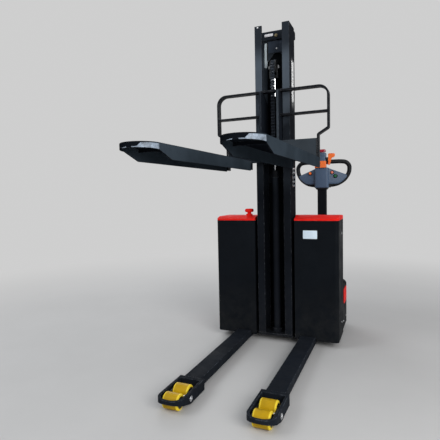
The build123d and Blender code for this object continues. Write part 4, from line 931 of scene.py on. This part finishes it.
GRIP = [(0.029, 0.186), (0.070, 0.186), (0.122, 0.186), (0.158, 0.180), (0.179, 0.158), (0.1825, 0.130),
        (0.175, 0.098), (0.150, 0.060), (0.113, 0.034), (0.078, 0.023), (0.046, 0.020)]
grip_r = 0.015
bm = bmesh.new()
for s in SIDES:
    tube(bm, spline([swept(u, h, -grip_back, s) for u, h in GRIP], 7), grip_r, 20)
grip = piece("tiller_grip", bm, "black_rubber", "tiller")
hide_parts("tiller_loop")

bm = bmesh.new()
tiller_box(bm, [
    (0.064, 0.042, 0.009, -0.0135), (0.070, 0.048, 0.010, -0.013), (0.086, 0.062, 0.011, -0.0035),
    (0.088, 0.064, 0.011, -0.0001),
], 0.0)
piece("tiller_collar", bm, "black_plastic", "tiller")

rocker_low, rocker_w, rocker_h = head_low + block_h + 0.0003, 0.066, 0.046
bm = bmesh.new()
rocker = rectangle(rocker_w, rocker_h, 0.005)
plate(bm, rocker, (arm.x, tower_front, rocker_low + rocker_h / 2), X, Z, 0.0055, 0.0022, 3)
for s in SIDES:
    near, far = sorted((arm.x + s * 0.0292, arm.x + s * (rocker_w / 2 + 0.0005)))
    cheek_top = rocker_low + rocker_h - 0.002
    block(bm, (near, tower_front - 0.0045, rocker_low), (far, wing_front, cheek_top), 0.0018)
lip = Vector((arm.x - 0.046, tower_front + 0.010, rocker_low))
block(bm, lip, (lip.x + 0.016, arm.y - 0.007, lip.z + 0.0095), 0.0022)
piece("tiller_rocker_cover", bm, "orange_plastic", "tiller")

bm = bmesh.new()
for button in PUSH_BUTTONS:
    spot = middle(button)
    depth = swept(abs(spot.x - arm.x), 0).y - arm.y + 0.006
    ring = [(0.0096, -depth), (0.0135, -depth), (0.0128, 0.0006), (0.0116, 0.0018), (0.0102, 0.0018),
            (0.0096, 0.0012)]
    lathe(bm, ring, (spot.x, wing_front, spot.z), -Y, 28, True)
piece("button_rings", bm, "black_plastic", "tiller")

bm = bmesh.new()
for s in SIDES:
    for u, h in ((0.0485, 0.020), (0.0295, 0.186)):
        ring = [(0.0152, 0), (0.0190, 0), (0.0190, 0.006), (0.0175, 0.008), (0.0152, 0.008)]
        lathe(bm, ring, swept(u, h, -grip_back, s), X * s, 28, True)
piece("grip_collars", bm, "black_plastic", "tiller")

# Butterfly lever: a dark shaft through the tower with an orange thumb paddle on each side

lever = Vector((arm.x, arm.y - 0.030, head_low + 0.206))
paddle_t = 0.013
PADDLE = [(0.047, -0.048), (0.058, -0.046), (0.066, -0.018), (0.070, 0.004), (0.090, 0.008), (0.095, 0.033),
          (0.047, 0.035)]
bm = bmesh.new()
for s in SIDES:
    outline = rounded(PADDLE, [0.005, 0.005, 0.02, 0.006, 0.007, 0.007, 0.008])
    plate(bm, outline, lever + Y * s * paddle_t / 2, X * s, Z, paddle_t, 0.0038, 3)
paddles = piece("butterfly_paddles", bm, "orange_plastic", "butterfly_lever")
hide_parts("butterfly_lever")
bm = bmesh.new()
lathe(bm, [(0.0040, -0.0620), (0.0060, -0.0600), (0.0060, 0.0600), (0.0040, 0.0620)], lever, X, 20)
for s in SIDES:
    hub = [(0.0075, 0.0300), (0.0085, 0.0310), (0.0085, 0.0450), (0.0075, 0.0465)]
    lathe(bm, hub, lever, X * s, 28)
piece("butterfly_shaft", bm, "black_plastic", "butterfly_lever")

# Tiller foot: a rubber boot round the column, retaining rings on the tilt pin

hood_out, hood_back, hood_top = high("rear_hood")
bm = bmesh.new()
boot = [(0.0455, 0.0003), (0.0600, 0.0003), (0.0605, 0.0030)]
for i in range(3):
    boot += [(0.0560 - 0.003 * i, 0.0060 + 0.006 * i), (0.0515 - 0.003 * i, 0.0085 + 0.006 * i)]
boot += [(0.0460, 0.0225), (0.0420, 0.0225), (0.0420, 0.0200)]
lathe(bm, boot, (arm.x, arm.y, hood_top), Z, 40, True)
piece("column_boot", bm, "black_rubber", "chassis")
bm = bmesh.new()
ring = [(0.0103, 0), (0.0150, 0), (0.0150, 0.0014), (0.0103, 0.0014)]
on_ends(bm, "tiller_base", ring, 28, True, middle("tiller_pin"))
piece("tilt_pin_rings", bm, "steel", "steering", "dark_steel")

# Rear hood: louvres, seal, gauge, charging socket and screws

hood_front, hood_low = low("rear_hood").y, high("rear_skirt").z
hood_corner = 0.130
dial_x, socket_x = 0.020, -0.210
louvre_low, louvre_pitch = hood_low + 0.085, 0.028


def louvre(bm, centre, along, out, length):
    """A pressed louvre: a long bulge that opens downwards."""
    section = [(0.0070, 0.0), (0.0062, 0.0012), (0.0030, 0.0030), (-0.0020, 0.0042), (-0.0052, 0.0040),
               (-0.0058, 0.0)]
    rings = []
    for i in range(25):
        s = i / 12 - 1
        swell = max(0.04, 1 - abs(s) ** 8) ** 0.8
        spot = Vector(centre) + along * (s * length / 2)
        rings.append([spot + Z * (h * (0.3 + 0.7 * swell)) + out * (d * swell - 0.0002) for h, d in section])
    skin(bm, rings)


bm = bmesh.new()
for i in range(6):
    louvre(bm, (0, hood_back, louvre_low + louvre_pitch * i), X, Y, length=0.27)
for s in SIDES:
    for i in range(5):
        centre = (s * hood_out, hood_front + 0.125, louvre_low + louvre_pitch * i)
        louvre(bm, centre, Y * s, X * s, length=0.15)
piece("hood_louvres", bm, "body_paint", "chassis")

gap, seal_r = 0.0012, 0.0030
turn = [math.pi / 2 * k / 10 for k in range(11)]
side_x, back_y, corner = hood_out + gap, hood_back + gap, hood_corner + gap
half_line = [(0.0, back_y), (0.1, back_y)]
half_line += [(side_x - corner + corner * math.sin(t), back_y - corner + corner * math.cos(t)) for t in turn]
half_line += [(side_x, hood_front + 0.07), (side_x, hood_front + 0.002)]
line = [(-x, y) for x, y in half_line[:0:-1]] + half_line
bm = bmesh.new()
tube(bm, [(x, y, hood_low + seal_r) for x, y in line], seal_r, 8)
piece("hood_seal", bm, "black_rubber", "chassis")

skirt_out = high("rear_skirt").x
bm = bmesh.new()
for s in SIDES:
    for z in (hood_low + 0.035, hood_top - 0.050):
        button_head(bm, (s * hood_out, hood_front + 0.022, z), X * s, size=0.011)
    for y in (hood_front + 0.015, hood_front + 0.155):
        button_head(bm, (s * skirt_out, y, low("rear_skirt").z + 0.050), X * s, size=0.012)
piece("rear_fasteners", bm, "steel", "chassis")

dial = Vector((dial_x, middle("key_switch").y, hood_top))
bm = bmesh.new()
bezel = [(0.0255, 0.0002), (0.0330, 0.0002), (0.0330, 0.0030), (0.0300, 0.0062), (0.0265, 0.0062),
         (0.0255, 0.0040)]
lathe(bm, bezel, dial, Z, 48, True)
block(bm, dial + Vector((-0.001, -0.004, 0.0036)), dial + Vector((0.001, 0.018, 0.0046)), 0.0004)
lathe(bm, [(0.0040, 0.0034), (0.0040, 0.0050), (0.0030, 0.0056)], dial, Z, 20)
mark_ring = 0.0205
for degrees in range(-120, 121, 30):
    t = math.radians(degrees)
    mark = dial + Vector((mark_ring * math.sin(t), mark_ring * math.cos(t), 0.0034))
    lathe(bm, [(0.0011, 0), (0.0011, 0.0004), (0.0008, 0.0005)], mark, Z, 10)
piece("battery_gauge", bm, "black_plastic", "chassis")
bm = bmesh.new()
lathe(bm, [(0.0256, 0.0003), (0.0256, 0.0032), (0.0250, 0.0034)], dial, Z, 40)
piece("battery_gauge_face", bm, "aluminium", "chassis", "gauge_face")

socket = Vector((socket_x, dial.y, hood_top))
bm = bmesh.new()
plate(bm, rectangle(0.068, 0.056, 0.008), socket + Z * 0.0002, X, Y, 0.0040, 0.0012)
lathe(bm, [(0.0215, 0.0040), (0.0215, 0.0105), (0.0195, 0.0128), (0.0030, 0.0132)], socket, Z, 40)
tube(bm, [socket + Vector((x, 0.0235, 0.0080)) for x in (-0.012, 0.0, 0.012)], 0.0034, 14)
block(bm, socket + Vector((-0.007, -0.0275, 0.0085)), socket + Vector((0.007, -0.0190, 0.0122)), 0.0012)
piece("charging_socket", bm, "black_plastic", "chassis")

bm = bmesh.new()
rosette = [(0.0183, 0.0002), (0.0235, 0.0002), (0.0235, 0.0014), (0.0183, 0.0022)]
lathe(bm, rosette, (middle("key_switch").x, dial.y, hood_top), Z, 36, True)
piece("key_rosette", bm, "steel", "chassis")

# Wheels at the back: hub faces with bolts

wheel = middle("drive_wheel")
wheel_in = low("drive_wheel").x
bm = bmesh.new()
hub = [(0.0190, 0.0), (0.0700, 0.0), (0.0740, 0.0012), (0.0700, 0.0030), (0.0420, 0.0030), (0.0380, 0.0055),
       (0.0190, 0.0055)]
lathe(bm, hub, (wheel_in, wheel.y, wheel.z), -X, 48, True)
bolt_ring = 0.056
for t in circle(5):
    spot = (wheel_in - 0.0028, wheel.y + bolt_ring * math.cos(t), wheel.z + bolt_ring * math.sin(t))
    hex_head(bm, spot, -X, across=0.013, height=0.006)
piece("drive_wheel_hub", bm, "cast_iron", "drive_wheel")
cap = [(0.0105, 0.0), (0.0330, 0.0), (0.0340, 0.0010), (0.0310, 0.0022), (0.0200, 0.0022), (0.0180, 0.0034),
       (0.0105, 0.0034)]
axle_end = [(0.0098, 0), (0.0098, 0.0030), (0.0080, 0.0046), (0.0010, 0.0050)]
hubs, ends = bmesh.new(), bmesh.new()
on_ends(hubs, "castor_wheels", cap, 36)
on_ends(ends, "castor_wheels", axle_end, 24, False)
piece("castor_hub_caps", hubs, "black_plastic", "castor_wheels")
piece("castor_axle_ends", ends, "steel", "castor_fork")

# Stage: pale floor, pale surroundings, soft lamps and the photograph's camera

PALE = (0.62, 0.62, 0.62)


def seen_rays(tree):
    """1 for rays from the camera, a mirror or glass, 0 for the rest."""
    path = shade(tree, "LightPath")
    mirrors = plus(tree, path.outputs["Is Glossy Ray"], path.outputs["Is Transmission Ray"])
    return plus(tree, path.outputs["Is Camera Ray"], mirrors)


world = bpy.data.worlds.new("studio")
scene.world = world
world.use_nodes = True
tree = world.node_tree
surround = mix(tree, seen_rays(tree), rgba((0.32, 0.325, 0.335)), rgba(PALE))
tree.links.new(surround, tree.nodes["Background"].inputs["Color"])

material = bpy.data.materials.new("pale floor")
material.use_nodes = True
tree = material.node_tree
shader = tree.nodes["Principled BSDF"]
coords = shade(tree, "TexCoord").outputs["Object"]
broad = spread(tree, noise(tree, coords, 1.3, 6.0, 0.6), 0.3, 0.7, 0, 1)
tree.links.new(mix(tree, broad, rgba(PALE, 0.94), rgba(PALE)), shader.inputs["Base Color"])
shader.inputs["Roughness"].default_value = 0.8
shader.inputs["Specular IOR Level"].default_value = 0.2
reach = vectors(tree, "LENGTH", coords, output="Value")
far = times(tree, spread(tree, reach, 1.0, 4.5, 0, 1, True), seen_rays(tree))
glow = shade(tree, "Emission", {"Color": rgba(PALE), "Strength": 1.0}).outputs[0]
blend = shade(tree, "MixShader", {0: far, 1: shader.outputs[0], 2: glow}).outputs[0]
tree.links.new(blend, tree.nodes["Material Output"].inputs["Surface"])
bm = bmesh.new()
bmesh.ops.create_grid(bm, x_segments=8, y_segments=8, size=60.0)
mesh = bpy.data.meshes.new("floor")
bm.to_mesh(mesh)
bm.free()
mesh.materials.append(material)
floor = bpy.data.objects.new("floor", mesh)
scene.collection.objects.link(floor)

LAMPS = (
    # name, place, aim, width, height, watts, colour
    ("key", (2.7, -2.6, 2.0), (0.15, -0.1, 0.95), 2.6, 1.8, 104, (1.0, 0.99, 0.975)),
    ("fill", (-3.0, -2.4, 3.4), (0.0, 0.0, 0.9), 2.4, 1.8, 50, (0.95, 0.98, 1.0)),
    ("top", (0.0, 0.2, 4.8), (0.0, 0.2, 0.0), 4.0, 4.0, 24, (1.0, 1.0, 1.0)),
    ("strip", (0.85, 3.6, 2.55), (0.1, 0.3, 1.6), 0.06, 0.60, 1.0, (1.0, 1.0, 1.0)),
    ("rear", (-2.6, 3.2, 2.6), (0.0, 0.4, 0.7), 2.2, 1.8, 40, (0.97, 0.985, 1.0)),
)
for name, place, aim, width, height, watts, colour in LAMPS:
    lamp = bpy.data.lights.new(name, "AREA")
    lamp.shape = "RECTANGLE"
    lamp.size = width
    lamp.size_y = height
    lamp.energy = watts
    lamp.color = colour
    obj = bpy.data.objects.new(name, lamp)
    obj.location = place
    obj.rotation_euler = (Vector(aim) - Vector(place)).to_track_quat("-Z", "Y").to_euler()
    obj.visible_camera = False
    scene.collection.objects.link(obj)

IMAGE = 440.0
FOCAL_PIXELS = 412.06
EYE = Vector((0.71004, -2.2511, 0.970))
YAW, PITCH, ROLL = (math.radians(a) for a in (23.019, 3.610, -1.217))
camera = bpy.data.cameras.new("camera")
camera.sensor_width = 36.0
camera.lens = camera.sensor_width * FOCAL_PIXELS / IMAGE
back = Vector((math.sin(YAW) * math.cos(PITCH), -math.cos(YAW) * math.cos(PITCH), math.sin(PITCH)))
right = (-back).cross(Z).normalized()
up = right.cross(-back)
tilted = math.cos(ROLL) * right + math.sin(ROLL) * up
upright = math.cos(ROLL) * up - math.sin(ROLL) * right
eye = bpy.data.objects.new("camera", camera)
eye.matrix_world = Matrix.Translation(EYE) @ Matrix((tilted, upright, back)).transposed().to_4x4()
scene.collection.objects.link(eye)
scene.camera = eye
scene.view_settings.view_transform = "Standard"
